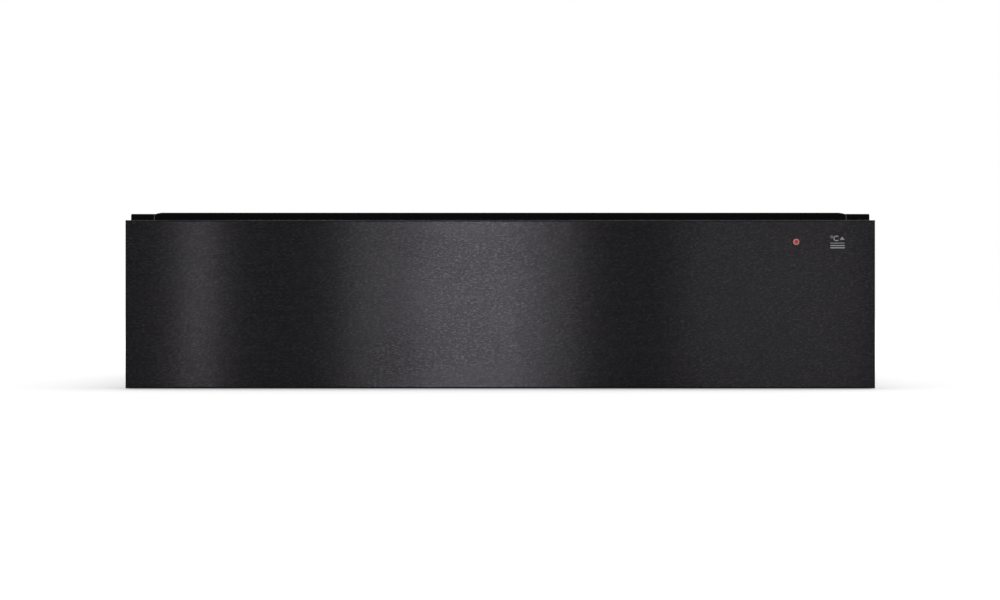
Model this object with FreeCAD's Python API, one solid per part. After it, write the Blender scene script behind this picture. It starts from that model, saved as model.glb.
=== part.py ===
import FreeCAD, Part
import math
import os

# Built-in warming drawer of the 14 cm class, to be set flush into a kitchen housing under an oven.
# Millimetres. X runs to the right as seen from the front and Z runs up. The section that follows
# works with s, the distance behind the tip of the pilot lamp, and every piece is moved forward by
# half the overall depth when it is written, so the origin is the bottom centre of the whole object.

V = FreeCAD.Vector

# Outer sizes
CARCASS_WIDTH = 552.0
CARCASS_DEPTH = 537.5
OVERALL_HEIGHT = 141.0
FRONT_SETBACK = 22.5        # from the lamp's tip to the plane of the fixing flanges
FRONT_OVERHANG = 2.0        # the front covers the flanges by this much at each side
FRONT_GROUND_GAP = 0.5      # under the front's lower edge
TOP_REVEAL = 6.5            # strip of carcass that shows above the front
FLANGE_OUT = 20.5
FLANGE_CORNER = 1.0
FLANGE_DROP = 1.0           # flanges end this far under the top sheet's face
EDGE_RUN = 4.0              # the top sheet's side edges slope down over this width
EDGE_FALL = 0.7

# Sheet metal
SHEET = 1.0                 # carcass sheet
THIN = 0.8                  # drawer sheet
FRONT_SHEET = 1.0
FRONT_EDGE_RADIUS = 1.2
FOLD = 12.0                 # width of the carcass folds
FIT = 0.3                   # clearance between pieces that pass or plug together
RUNNING_FIT = 0.05          # radial clearance of shafts, pins and rollers

# Front
FRONT_THICKNESS = 19.5      # from the lamp's tip to the back of the front
FRONT_HEM = 9.5             # depth of the inner plate's forward folds
BUFFER_SIZE = 10.0
LAMP_INSET = 62.8           # from the front's right edge
LAMP_BELOW_TOP = 17.3
LAMP_RADIUS = 2.6
LAMP_PROUD = 0.4            # the lens stands this far out of the front's face
LAMP_DEPTH = 9.0
LAMP_HOLDER_RADIUS = 4.5    # half the side of its square socket

# Fixing holes in the flanges, one pair at each side
FIXING_RADIUS = 2.25
FIXING_INSET = 9.5          # from the side sheet's outer face
FIXING_LOW = 30.0
FIXING_HIGH = 110.0

# Telescopic runners with roller cages
RUNNER_HEIGHT = 45.7
RUNNER_THICKNESS = 12.7
RUNNER_SHEET = 1.2
RUNNER_Z = 62.0
RUNNER_FRONT_GAP = 5.5
RUNNER_REAR_GAP = 32.0
ROLLER_RADIUS = 2.0
ROLLERS_PER_ROW = 2
ROLLER_PLAY = 0.15
ROLLER_SIDES = 10
CAGE_SHEET = 0.8
CAGE_START = 142.0
CAGE_LENGTH = 278.0

# Drawer box
BOX_BOTTOM = 12.0
BOX_DROP = 33.0             # from the carcass top down to the drawer's rim
BOX_REAR_SPACE = 46.0       # behind the drawer, for the connection box and the ejector
FLOOR_Z = 21.0
RIM_WIDTH = 9.0
RIM_HEM = 5.0
SKIRT_WIDTH = 12.0
MAT_THICKNESS = 2.0
MAT_MARGIN = 11.5

# Control bar behind the front
BAR_DEPTH = 38.5
BAR_HEIGHT = 30.0
BAR_WALL = 2.2
KNOB_BESIDE_SWITCH = 86.0
KNOB_RADIUS = 14.0
KNOB_SIDES = 24
KNOB_HEIGHT = 13.0
KNOB_DISC = 3.5
GRIP_WIDTH = 8.6
SPINDLE_RADIUS = 3.0
SWITCH_INSET = 17.0         # from the control bar's right end
ROCKER_LENGTH = 14.6
ROCKER_WIDTH = 9.8
ROCKER_TILT = 7.0           # degrees to each side of level

# Fan and heater compartment at the rear of the drawer
IMPELLER_RADIUS = 20.0
IMPELLER_LENGTH = 216.0
IMPELLER_LEFT = -160.0
BLADES = 16
BLADE_THICKNESS = 0.7
DISC_THICKNESS = 1.5
SHAFT_RADIUS = 2.5
STUB_LENGTH = 10.0
HUB_LENGTH = 12.0
HUB_RADIUS = 6.0
SCROLL_NEAR = 2.5           # running gap of the scroll at the intake edge
SCROLL_FAR = 9.0            # and at the outlet
SCROLL_SHEET = 0.8
BLADE_CURVE = 5.5           # radius of each blade's curve
BLADE_LEAD = 13.0           # degrees that a blade's tip leads its root
HEATER_RADIUS = 3.2
HEATER_PITCH = 11.0
HEATER_BELOW_FAN = 28.0
ROTOR_RADIUS = 11.0
AIR_GAP = 0.3
LOUVRES = 8
LOUVRE_PITCH = 55.0
LOUVRE_WIDTH = 44.0
INTAKES = 6
INTAKE_WIDTH = 54.0

# Vent slots in the back panel
VENTS = 5
VENT_START = 96.0
VENT_PITCH = 16.0

# Push-to-open ejector and mains connection at the back
PLUNGER_RADIUS = 6.0
PLUNGER_TRAVEL = 3.0
STRIKE_THICKNESS = 2.0
INLET_INSET = 60.0          # from the left side panel's inner face
INLET_Z = 45.0
BUSH_RADIUS = 8.2
BUSH_OUT = 10.0
CABLE_HOLE = 4.2

# Places that follow from the sizes above
X_SIDE = CARCASS_WIDTH / 2
X_IN = X_SIDE - SHEET
X_BOX = X_IN - RUNNER_THICKNESS
X_FLANGE = X_SIDE + FLANGE_OUT
X_FRONT = X_FLANGE + FRONT_OVERHANG
X_FIXING = X_SIDE + FIXING_INSET
S_SKIN = LAMP_PROUD + FRONT_SHEET
S_FLANGE = FRONT_SETBACK
S_BACK = S_FLANGE + CARCASS_DEPTH
OVERALL_DEPTH = S_BACK + BUSH_OUT
Z_TOP = OVERALL_HEIGHT
Z_UNDER_TOP = Z_TOP - SHEET
FRONT_TOP = Z_TOP - TOP_REVEAL
LAMP_X = X_FRONT - LAMP_INSET
LAMP_Z = FRONT_TOP - LAMP_BELOW_TOP
INLET_X = INLET_INSET - X_IN
BOX_TOP = Z_TOP - BOX_DROP
S_BOX = FRONT_THICKNESS
S_BOX_BACK = S_BACK - BOX_REAR_SPACE
X_WEB = X_BOX - THIN
X_RIM = X_BOX - RIM_WIDTH
BAR_TOP = BOX_TOP
BAR_BOTTOM = BAR_TOP - BAR_HEIGHT
BAR_BACK = S_BOX + BAR_DEPTH
BAR_S = S_BOX + BAR_DEPTH / 2
BAR_X = X_RIM - FIT
SWITCH_X = BAR_X - SWITCH_INSET
KNOB_X = SWITCH_X - KNOB_BESIDE_SWITCH
SCROLL_RADIUS = IMPELLER_RADIUS + (SCROLL_NEAR + SCROLL_FAR) / 2
FAN_S = S_BOX_BACK - THIN - SCROLL_SHEET - SCROLL_RADIUS - 2.65
FAN_Z = BOX_TOP - 32.0
HEATER_Z = FAN_Z - HEATER_BELOW_FAN
SCROLL_Z = FAN_Z - (SCROLL_FAR - SCROLL_NEAR) / 2
SCROLL_BOTTOM = SCROLL_Z - SCROLL_RADIUS
S_WALL_BACK = FAN_S - IMPELLER_RADIUS - 13.2
S_WALL = S_WALL_BACK - THIN
IMPELLER_RIGHT = IMPELLER_LEFT + IMPELLER_LENGTH
HEATER_S = S_WALL_BACK + 10.2
STRIKE_S = S_BOX_BACK + STRIKE_THICKNESS


def box(x0, x1, s0, s1, z0, z1):
    """Block between two corners."""
    return Part.makeBox(x1 - x0, s1 - s0, z1 - z0, V(x0, s0, z0))


def rod(axis, start, end, a, b, radius):
    """Round bar from start to end along an axis, at (a, b) in the two other axes."""
    base = on_plane(axis, start, a, b)
    return Part.makeCylinder(radius, end - start, base, on_plane(axis, 1.0, 0.0, 0.0))


def on_plane(axis, level, a, b):
    """Point at a level along the axis, and at (a, b) in the two others, taken in X, s, Z order."""
    if axis == "x":
        return V(level, a, b)
    if axis == "s":
        return V(a, level, b)
    return V(a, b, level)


def outline(axis, level, corners):
    """Closed wire through corners (a, b) or (a, b, radius); a radius rounds its corner."""
    spots = [on_plane(axis, level, corner[0], corner[1]) for corner in corners]
    radii = [corner[2] if len(corner) > 2 else 0.0 for corner in corners]
    edges = []
    joints = []
    for i, spot in enumerate(spots):
        if radii[i] == 0.0:
            joints.append((spot, spot))
            continue
        before = (spots[i - 1] - spot).normalize()
        after = (spots[(i + 1) % len(spots)] - spot).normalize()
        half = before.getAngle(after) / 2
        reach = radii[i] / math.tan(half)
        middle = spot + (before + after).normalize() * (radii[i] / math.sin(half) - radii[i])
        joints.append((spot + before * reach, spot + after * reach))
        edges.append((i, Part.Arc(joints[i][0], middle, joints[i][1]).toShape()))
    path = []
    arcs = dict(edges)
    for i, joint in enumerate(joints):
        if i in arcs:
            path.append(arcs[i])
        nearest = joints[(i + 1) % len(joints)][0]
        if (nearest - joint[1]).Length > 1e-6:
            path.append(Part.LineSegment(joint[1], nearest).toShape())
    return Part.Wire(path)


def prism(axis, start, end, corners):
    """Solid with a constant outline, drawn as for outline(), from start to end along the axis."""
    face = Part.Face(outline(axis, start, corners))
    return face.extrude(on_plane(axis, end - start, 0.0, 0.0))


def rectangle(a0, a1, b0, b1):
    return [(a0, b0), (a1, b0), (a1, b1), (a0, b1)]


def slot(a, b, size_a, size_b, cut=None):
    """Outline of a slot or plate with cut corners, centred on (a, b)."""
    half_a = size_a / 2
    half_b = size_b / 2
    if cut is None:
        cut = 0.6 * min(half_a, half_b)
    quarter = [(half_a, half_b - cut), (half_a - cut, half_b)]
    top = quarter + [(-x, z) for x, z in reversed(quarter)]
    return [(a + x, b + z) for x, z in top + [(-x, -z) for x, z in top]]


def polygon(a, b, radius, sides):
    """Corners of a regular polygon about (a, b), a flat on top; its sides touch the circle."""
    reach = radius / math.cos(math.pi / sides)
    turns = [math.pi / 2 + 2 * math.pi * (i + 0.5) / sides for i in range(sides)]
    return [(a + reach * math.cos(turn), b + reach * math.sin(turn)) for turn in turns]


def frustum(axis, level, rise, a0, a1, b0, b1):
    """Block with sides that slope in at 45 degrees over its rise along the axis."""
    inset = abs(rise)
    low = outline(axis, level, rectangle(a0, a1, b0, b1))
    high = outline(axis, level + rise, rectangle(a0 + inset, a1 - inset, b0 + inset, b1 - inset))
    return Part.makeLoft([low, high], True, True)


def press(sheet, axis, face, rise, thickness, areas):
    """Sheet with pressed beads: each area bulges by the signed rise out of the given face."""
    back = thickness if rise > 0 else -thickness
    for area in areas:
        sheet = sheet.fuse(frustum(axis, face, rise, *area))
    for area in areas:
        sheet = sheet.cut(frustum(axis, face - back, rise, *area))
    return sheet


def mirrored(shape):
    """The same piece at the other side."""
    return shape.mirror(V(0, 0, 0), V(1, 0, 0))


def joined(shapes):
    """One solid from touching or overlapping ones."""
    return shapes[0].multiFuse(shapes[1:]).removeSplitter()


# Carcass


def base_panel():
    sheet = box(-X_SIDE, X_SIDE, S_FLANGE, S_BACK, 0, SHEET)
    lip_x = X_IN - FOLD - FIT
    lip = box(-lip_x, lip_x, S_FLANGE, S_FLANGE + SHEET, 0, BOX_BOTTOM - 3.0)
    bead_x = X_IN - FOLD - 40.0
    rows = [S_FLANGE + CARCASS_DEPTH * share for share in (0.2, 0.5, 0.8)]
    areas = [(-bead_x, bead_x, row - 10.0, row + 10.0) for row in rows]
    return press(joined([sheet, lip]), "z", SHEET, 2.0, SHEET, areas)


def side_panel():
    """Right side: a web with folds at top and bottom and the fixing flange turned out in front."""
    section = [
        (X_SIDE, SHEET, SHEET),
        (X_SIDE, Z_UNDER_TOP, SHEET),
        (X_IN - FOLD, Z_UNDER_TOP),
        (X_IN - FOLD, Z_UNDER_TOP - SHEET),
        (X_IN, Z_UNDER_TOP - SHEET),
        (X_IN, 2 * SHEET),
        (X_IN - FOLD, 2 * SHEET),
        (X_IN - FOLD, SHEET),
    ]
    web = prism("s", S_FLANGE + SHEET, S_BACK, section)
    trim = box(X_IN - FOLD, X_IN, S_BACK - SHEET, S_BACK, SHEET, Z_UNDER_TOP)
    flange_outline = [
        (X_IN, SHEET),
        (X_FLANGE, SHEET, FLANGE_CORNER),
        (X_FLANGE, Z_TOP - FLANGE_DROP, FLANGE_CORNER),
        (X_IN, Z_TOP - FLANGE_DROP),
    ]
    flange = prism("s", S_FLANGE, S_FLANGE + SHEET, flange_outline)
    for z in (FIXING_LOW, FIXING_HIGH):
        flange = flange.cut(rod("s", S_FLANGE - 1, S_FLANGE + 2 * SHEET, X_FIXING, z, FIXING_RADIUS))
    panel = joined([web.cut(trim), flange])
    s0 = S_FLANGE + 45.0
    s1 = S_BACK - 45.0
    upper = (s0, s1, RUNNER_Z + RUNNER_HEIGHT / 2 + 14.0, Z_UNDER_TOP - 22.0)
    lower = (s0, s1, 10.0, RUNNER_Z - RUNNER_HEIGHT / 2 - 12.0)
    return press(panel, "x", X_SIDE, 1.2, SHEET, [upper, lower])


def back_panel():
    sheet = box(-X_IN, X_IN, S_BACK - SHEET, S_BACK, SHEET, Z_UNDER_TOP)
    fold_x = X_IN - FOLD - FIT
    folds = [box(-fold_x, fold_x, S_BACK - FOLD, S_BACK, Z_UNDER_TOP - SHEET, Z_UNDER_TOP)]
    for side in (-1, 1):
        x0, x1 = sorted((side * X_IN, side * (X_IN - SHEET)))
        folds.append(box(x0, x1, S_BACK - FOLD, S_BACK, 2 * SHEET, Z_UNDER_TOP - SHEET))
    panel = joined([sheet] + folds)
    slots = []
    for side in (-1, 1):
        for i in range(VENTS):
            x = side * (VENT_START + VENT_PITCH * i)
            slots.append(prism("s", S_BACK - 2, S_BACK + 1, slot(x, 93.0, 5.0, 38.0)))
    inlet = rod("s", S_BACK - 2, S_BACK + 1, INLET_X, INLET_Z, BUSH_RADIUS + RUNNING_FIT)
    return panel.cut(Part.makeCompound(slots + [inlet]))


def top_panel():
    """Top sheet with its side edges pressed down, a lip in front and four pressed beads."""
    right = [
        (X_SIDE, Z_UNDER_TOP),
        (X_SIDE, Z_TOP - EDGE_FALL),
        (X_SIDE - EDGE_RUN, Z_TOP),
    ]
    left = [(-corner[0], corner[1]) for corner in reversed(right)]
    sheet = prism("s", S_FLANGE, S_BACK, right + left)
    lip = box(-X_IN, X_IN, S_FLANGE, S_FLANGE + SHEET, Z_TOP - 13.0, Z_UNDER_TOP)
    areas = []
    for x in (-200.0, -80.0, 80.0, 200.0):
        areas.append((x - 11.0, x + 11.0, S_FLANGE + 60.0, S_BACK - 50.0))
    return press(joined([sheet, lip]), "z", Z_UNDER_TOP, -1.5, SHEET, areas)


def front_rail():
    """Channel that stiffens the mouth of the carcass, open upwards under the top sheet."""
    s0 = S_FLANGE + SHEET
    s1 = s0 + 20.0
    z0 = Z_UNDER_TOP - 13.0
    section = [
        (s0, z0, 2 * SHEET),
        (s1, z0, 2 * SHEET),
        (s1, Z_UNDER_TOP),
        (s1 - SHEET, Z_UNDER_TOP),
        (s1 - SHEET, z0 + SHEET),
        (s0 + SHEET, z0 + SHEET),
        (s0 + SHEET, Z_UNDER_TOP),
        (s0, Z_UNDER_TOP),
    ]
    half = X_IN - FOLD - FIT
    return prism("x", -half, half, section)


# Telescopic runners, right side; u is the distance from the drawer's side towards the carcass

OUTER_HALF = RUNNER_HEIGHT / 2
TRACK_GAP = 2 * (ROLLER_RADIUS + RUNNING_FIT)
MID_HALF = OUTER_HALF - RUNNER_SHEET - TRACK_GAP
INNER_HALF = MID_HALF - RUNNER_SHEET - TRACK_GAP
OUTER_ROW = OUTER_HALF - RUNNER_SHEET - TRACK_GAP / 2
INNER_ROW = MID_HALF - RUNNER_SHEET - TRACK_GAP / 2
MID_WEB = RUNNER_THICKNESS - 2.9
INNER_WEB_TIP = MID_WEB - 2.6
RUNNER_START = S_FLANGE + RUNNER_FRONT_GAP
RUNNER_LENGTH = CARCASS_DEPTH - RUNNER_FRONT_GAP - RUNNER_REAR_GAP


def channel(tip, web, half, lip):
    """Rolled channel section with its web at u = web and lips at its open edge, u = tip."""
    t = RUNNER_SHEET
    upper = [
        (X_BOX + web, half, 1.5 * t),
        (X_BOX + tip, half),
        (X_BOX + tip, half - lip),
        (X_BOX + tip + t, half - lip),
        (X_BOX + tip + t, half - t),
        (X_BOX + web - t, half - t),
    ]
    lower = [(corner[0], -corner[1]) + corner[2:] for corner in reversed(upper)]
    return [(corner[0], corner[1] + RUNNER_Z) + corner[2:] for corner in upper + lower]


def runner_outer():
    start = RUNNER_START
    section = channel(2.0, RUNNER_THICKNESS, OUTER_HALF, 3.0)
    return prism("s", start, start + RUNNER_LENGTH, section)


def runner_mid():
    start = RUNNER_START
    return prism("s", start, start + RUNNER_LENGTH, channel(1.6, MID_WEB, MID_HALF, 2.6))


def runner_inner():
    """Drawer member: its web lies on the drawer's side and its flanges point outwards."""
    t = RUNNER_SHEET
    upper = [
        (X_BOX, INNER_HALF, t),
        (X_BOX + INNER_WEB_TIP, INNER_HALF),
        (X_BOX + INNER_WEB_TIP, INNER_HALF - t),
        (X_BOX + t, INNER_HALF - t),
    ]
    lower = [(corner[0], -corner[1]) + corner[2:] for corner in reversed(upper)]
    section = [(corner[0], corner[1] + RUNNER_Z) + corner[2:] for corner in upper + lower]
    end = min(RUNNER_START + RUNNER_LENGTH - 2.0, S_BOX_BACK)
    return prism("s", RUNNER_START + 2.0, end, section)


def roller_cage(web, lip, row):
    """Cage with a row of rollers at top and bottom; it runs between two members."""
    t = CAGE_SHEET
    x0 = X_BOX + lip + FIT
    x1 = X_BOX + web
    start = CAGE_START
    end = start + CAGE_LENGTH
    cage = box(x0, x1, start, end, RUNNER_Z - row - t / 2, RUNNER_Z + row + t / 2)
    cage = cage.cut(box(x0 - 1, x1 - t, start, end, RUNNER_Z - row + t / 2, RUNNER_Z + row - t / 2))
    pitch = (CAGE_LENGTH - 20.0) / (ROLLERS_PER_ROW - 1)
    pockets = []
    rollers = []
    for i in range(ROLLERS_PER_ROW):
        s = start + 10.0 + i * pitch
        reach = ROLLER_RADIUS + ROLLER_PLAY
        for z in (RUNNER_Z - row, RUNNER_Z + row):
            pockets.append(box(x0 + t, x1 - t, s - reach, s + reach, z - t, z + t))
            outer = polygon(s, z, ROLLER_RADIUS, ROLLER_SIDES)
            rollers.append(prism("x", x0 + t + 0.1, x1 - t - 0.1, outer))
    for i in range(ROLLERS_PER_ROW - 1):
        s = start + 10.0 + (i + 0.5) * pitch
        window = pitch / 2 - 14.0
        pockets.append(box(x1 - 2 * t, x1 + 1, s - window, s + window, RUNNER_Z - 7.0, RUNNER_Z + 7.0))
    return Part.makeCompound([cage.cut(Part.makeCompound(pockets))] + rollers)


# Drawer front


def front_panel():
    """Decorative sheet front, folded back round all four edges with mitred corners."""
    z0 = FRONT_GROUND_GAP
    r = FRONT_EDGE_RADIUS
    face = LAMP_PROUD
    end = FRONT_THICKNESS
    profile = [(face, z0, r), (face, FRONT_TOP, r), (end, FRONT_TOP), (end, z0)]
    plan = [(-X_FRONT, face, r), (X_FRONT, face, r), (X_FRONT, end), (-X_FRONT, end)]
    block = prism("x", -X_FRONT, X_FRONT, profile).common(prism("z", z0, FRONT_TOP, plan))
    t = FRONT_SHEET
    hollow = box(-X_FRONT + t, X_FRONT - t, S_SKIN, end + 1, z0 + t, FRONT_TOP - t)
    lamp_hole = rod("s", 0, S_SKIN + t, LAMP_X, LAMP_Z, LAMP_RADIUS + RUNNING_FIT)
    return block.cut(hollow).cut(lamp_hole)


def front_core():
    """Stiffening core between the sheet front and its inner plate, with a pocket for the lamp."""
    t = FRONT_SHEET
    x = X_FRONT - t - THIN
    core = box(-x, x, S_SKIN, FRONT_THICKNESS - THIN, FRONT_GROUND_GAP + t + THIN, FRONT_TOP - t - THIN)
    r = LAMP_HOLDER_RADIUS + 0.1
    return core.cut(box(LAMP_X - r, LAMP_X + r, 0, FRONT_THICKNESS, LAMP_Z - r, LAMP_Z + r))


def front_inner_plate():
    """Tray pushed into the folded front from behind; the drawer box is fastened to it."""
    x = X_FRONT - FRONT_SHEET
    z0 = FRONT_GROUND_GAP + FRONT_SHEET
    z1 = FRONT_TOP - FRONT_SHEET
    t = THIN
    tray = box(-x, x, FRONT_THICKNESS - FRONT_HEM, FRONT_THICKNESS, z0, z1)
    hollow = box(-x + t, x - t, 0, FRONT_THICKNESS - t, z0 + t, z1 - t)
    return tray.cut(hollow)


def front_buffers():
    """Rubber buffers between the front and the fixing flanges."""
    z_places = (FIXING_LOW - 14.0, FIXING_HIGH + 14.0)
    pads = []
    for side in (-1, 1):
        for z in z_places:
            x = side * X_FIXING
            r = BUFFER_SIZE / 2
            pads.append(box(x - r, x + r, FRONT_THICKNESS, S_FLANGE, z - r, z + r))
    return Part.makeCompound(pads)


def front_brackets():
    """Angle brackets that tie the drawer's sides to the front's inner plate."""
    t = 2.0
    s0 = FRONT_THICKNESS
    angle = [
        (X_WEB, s0, t),
        (X_WEB, s0 + 56.0),
        (X_WEB - t, s0 + 56.0),
        (X_WEB - t, s0 + t),
        (X_WEB - 30.0, s0 + t),
        (X_WEB - 30.0, s0),
    ]
    right = prism("z", BOX_BOTTOM + 14.0, BAR_BOTTOM - 4.0, angle)
    return Part.makeCompound([right, mirrored(right)])


def lamp_holder():
    """Clip-in socket behind the front sheet that carries the pilot lamp's lens."""
    end = FRONT_THICKNESS - THIN
    r = LAMP_HOLDER_RADIUS
    socket = box(LAMP_X - r, LAMP_X + r, S_SKIN, end, LAMP_Z - r, LAMP_Z + r)
    return socket.cut(rod("s", 0, LAMP_DEPTH, LAMP_X, LAMP_Z, LAMP_RADIUS + RUNNING_FIT))


def lamp_lens():
    """Round lens with a bevelled edge; it stands a little proud of the front."""
    spot = on_plane("s", 0.0, LAMP_X, LAMP_Z)
    ahead = V(0, 1, 0)
    bevel = Part.makeCone(LAMP_RADIUS - LAMP_PROUD, LAMP_RADIUS, LAMP_PROUD, spot, ahead)
    body = rod("s", LAMP_PROUD, LAMP_DEPTH, LAMP_X, LAMP_Z, LAMP_RADIUS)
    return joined([bevel, body])


# Drawer box


def drawer_side():
    """Right side: web with a floor flange below and a hemmed rim above."""
    section = [
        (X_BOX, BOX_BOTTOM),
        (X_BOX, BOX_TOP, 2 * THIN),
        (X_RIM, BOX_TOP, 2 * THIN),
        (X_RIM, BOX_TOP - RIM_HEM),
        (X_RIM + THIN, BOX_TOP - RIM_HEM),
        (X_RIM + THIN, BOX_TOP - THIN),
        (X_WEB, BOX_TOP - THIN),
        (X_WEB, BOX_BOTTOM + THIN),
        (X_WEB - SKIRT_WIDTH, BOX_BOTTOM + THIN),
        (X_WEB - SKIRT_WIDTH, BOX_BOTTOM),
    ]
    return prism("s", S_BOX, S_BOX_BACK, section)


def drawer_floor():
    """Pan between the sides; its skirts stand on their flanges, and beads stiffen it from below."""
    s1 = S_BOX_BACK - THIN
    sheet = box(-X_WEB, X_WEB, S_BOX, s1, FLOOR_Z - THIN, FLOOR_Z)
    skirts = []
    for side in (-1, 1):
        x0, x1 = sorted((side * X_WEB, side * (X_WEB - THIN)))
        skirts.append(box(x0, x1, S_BOX, s1, BOX_BOTTOM + THIN, FLOOR_Z - THIN))
    areas = []
    for x in (-165.0, 0.0, 165.0):
        areas.append((x - 14.0, x + 14.0, S_BOX + 60.0, S_WALL - 30.0))
    return press(joined([sheet] + skirts), "z", FLOOR_Z - THIN, -3.0, THIN, areas)


def anti_slip_mat():
    x = X_WEB - MAT_MARGIN
    s0 = BAR_BACK + 3.0
    s1 = S_WALL - 6.0
    corners = slot(0, (s0 + s1) / 2, 2 * x, s1 - s0, 6.0)
    return prism("z", FLOOR_Z, FLOOR_Z + MAT_THICKNESS, corners)


def cross_wall_outline():
    """Outline of a wall that stands on the floor between the sides and clears their hemmed rims."""
    x_neck = X_RIM - FIT
    right = [
        (X_WEB, FLOOR_Z),
        (X_WEB, BOX_TOP - RIM_HEM - FIT),
        (x_neck, BOX_TOP - RIM_HEM - FIT),
        (x_neck, BOX_TOP),
    ]
    left = [(-corner[0], corner[1]) for corner in reversed(right)]
    return right + left


def spread(count, pitch):
    """Places of a row of equal features, centred on the middle plane."""
    first = -pitch * (count - 1) / 2
    return [first + pitch * i for i in range(count)]


def drawer_back_wall():
    """Wall between the warm space and the fan: louvres blow the air out, slots above take it in."""
    wall = prism("s", S_WALL, S_WALL_BACK, cross_wall_outline())
    hoods = []
    windows = []
    depth = 5.0
    low = FLOOR_Z + 15.0
    high = low + 12.0
    half = LOUVRE_WIDTH / 2
    for x in spread(LOUVRES, LOUVRE_PITCH):
        hood = [
            (S_WALL_BACK, low),
            (S_WALL - depth, low),
            (S_WALL - depth, low + 3.0),
            (S_WALL, high),
            (S_WALL_BACK, high),
        ]
        shell = [
            (S_WALL_BACK + 1, low - 1),
            (S_WALL - depth + THIN, low - 1),
            (S_WALL - depth + THIN, low + 3.0 - 0.6 * THIN),
            (S_WALL, high - 1.6 * THIN),
            (S_WALL_BACK + 1, high - 1.6 * THIN),
        ]
        hoods.append(prism("x", x - half, x + half, hood))
        windows.append(prism("x", x - half + THIN, x + half - THIN, shell))
    for x in spread(INTAKES, LOUVRE_PITCH * LOUVRES / INTAKES):
        intake = slot(x, BOX_TOP - 23.5, INTAKE_WIDTH, 8.0)
        windows.append(prism("s", S_WALL - 1, S_WALL_BACK + 1, intake))
    return wall.multiFuse(hoods).cut(Part.makeCompound(windows))


def rear_cover():
    return prism("s", S_BOX_BACK - THIN, S_BOX_BACK, cross_wall_outline())


def compartment_lid():
    """Sheet lid over the fan, with a lip in front of the louvred wall."""
    section = [
        (S_WALL - THIN, BOX_TOP - 8.0),
        (S_WALL - THIN, BOX_TOP + THIN, THIN),
        (S_BOX_BACK, BOX_TOP + THIN),
        (S_BOX_BACK, BOX_TOP),
        (S_WALL, BOX_TOP),
        (S_WALL, BOX_TOP - 8.0),
    ]
    x_neck = X_RIM - FIT
    lid = prism("x", -x_neck, x_neck, section)
    wings = []
    for side in (-1, 1):
        x0, x1 = sorted((side * x_neck, side * (X_BOX - 2.0)))
        wings.append(box(x0, x1, S_WALL + 3.0, S_BOX_BACK, BOX_TOP, BOX_TOP + THIN))
    return joined([lid] + wings)


def strike_plate():
    return prism("s", S_BOX_BACK, STRIKE_S, slot(0, RUNNER_Z, 32.0, 28.0, 3.0))


# Control bar


def control_bar():
    """Moulded bar behind the front: a ribbed inverted trough with places for knob and switch."""
    w = BAR_WALL
    shell = [
        (S_BOX, BAR_BOTTOM),
        (S_BOX, BAR_TOP, 1.0),
        (BAR_BACK, BAR_TOP, 6.0),
        (BAR_BACK, BAR_BOTTOM),
    ]
    hollow = [
        (S_BOX + w, BAR_BOTTOM - 1),
        (S_BOX + w, BAR_TOP - w),
        (BAR_BACK - w, BAR_TOP - w, 6.0 - w),
        (BAR_BACK - w, BAR_BOTTOM - 1),
    ]
    bar = prism("x", -BAR_X, BAR_X, shell).cut(prism("x", -BAR_X + w, BAR_X - w, hollow))
    ribs = []
    for x in (-180.0, -60.0, 60.0):
        ribs.append(box(x, x + 1.5, S_BOX + 1.0, BAR_BACK - 1.0, BAR_BOTTOM + 1.6, BAR_TOP - w))
    bar = joined([bar] + ribs)
    spindle_hole = rod("z", BAR_BOTTOM, BAR_TOP + 1, KNOB_X, BAR_S, SPINDLE_RADIUS + FIT)
    hx = SWITCH_HALF_X + 0.1
    hs = SWITCH_HALF_S + 0.1
    switch_hole = box(SWITCH_X - hx, SWITCH_X + hx, BAR_S - hs, BAR_S + hs, BAR_TOP - 5, BAR_TOP + 1)
    return bar.cut(Part.makeCompound([spindle_hole, switch_hole]))


def control_bar_cover():
    x = BAR_X - BAR_WALL - FIT
    s0 = S_BOX + BAR_WALL + FIT
    s1 = BAR_BACK - BAR_WALL - FIT
    return box(-x, x, s0, s1, BAR_BOTTOM, BAR_BOTTOM + 1.6)


BOARD_Z = BAR_BOTTOM + 10.0
BOARD_THICKNESS = 1.6
SWITCH_HALF_X = ROCKER_LENGTH / 2 + 2.5
SWITCH_HALF_S = ROCKER_WIDTH / 2 + 1.8
ROCKER_Z = BAR_TOP - 3.0
PIVOT_RADIUS = 1.5
KNOB_BASE = BAR_TOP + 0.8
SPINDLE_TOP = KNOB_BASE + KNOB_HEIGHT - 2.5
D_FLAT = 1.6


def control_board():
    """Circuit board with relay and plug headers on its underside."""
    top = BOARD_Z + BOARD_THICKNESS
    board = box(KNOB_X - 28, SWITCH_X - SWITCH_HALF_X - 6, BAR_S - 14, BAR_S + 14, BOARD_Z, top)
    relay = box(KNOB_X - 22, KNOB_X - 3, BAR_S - 7, BAR_S + 8, BAR_BOTTOM + 2.0, BOARD_Z)
    headers = []
    for i in range(3):
        x = KNOB_X + 6 + 14 * i
        headers.append(box(x, x + 10, BAR_S - 10, BAR_S - 3, BAR_BOTTOM + 3.0, BOARD_Z))
    return Part.makeCompound([board, relay] + headers)


def selector_body():
    """Rotary temperature selector between the board and the bar's top, bored for its spindle."""
    z0 = BOARD_Z + BOARD_THICKNESS
    z1 = BAR_TOP - BAR_WALL
    body = prism("z", z0, z1, slot(KNOB_X, BAR_S, 22.0, 22.0, 2.5))
    return body.cut(rod("z", z0 + 2.4, z1 + 1, KNOB_X, BAR_S, SPINDLE_RADIUS + RUNNING_FIT))


def d_bar(radius, z0, z1, flat):
    """Round bar along Z at the knob's axis, with a flat cut at the given distance."""
    bar = rod("z", z0, z1, KNOB_X, BAR_S, radius)
    return bar.cut(box(KNOB_X + flat, KNOB_X + 2 * radius, BAR_S - radius, BAR_S + radius, z0, z1))


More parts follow.
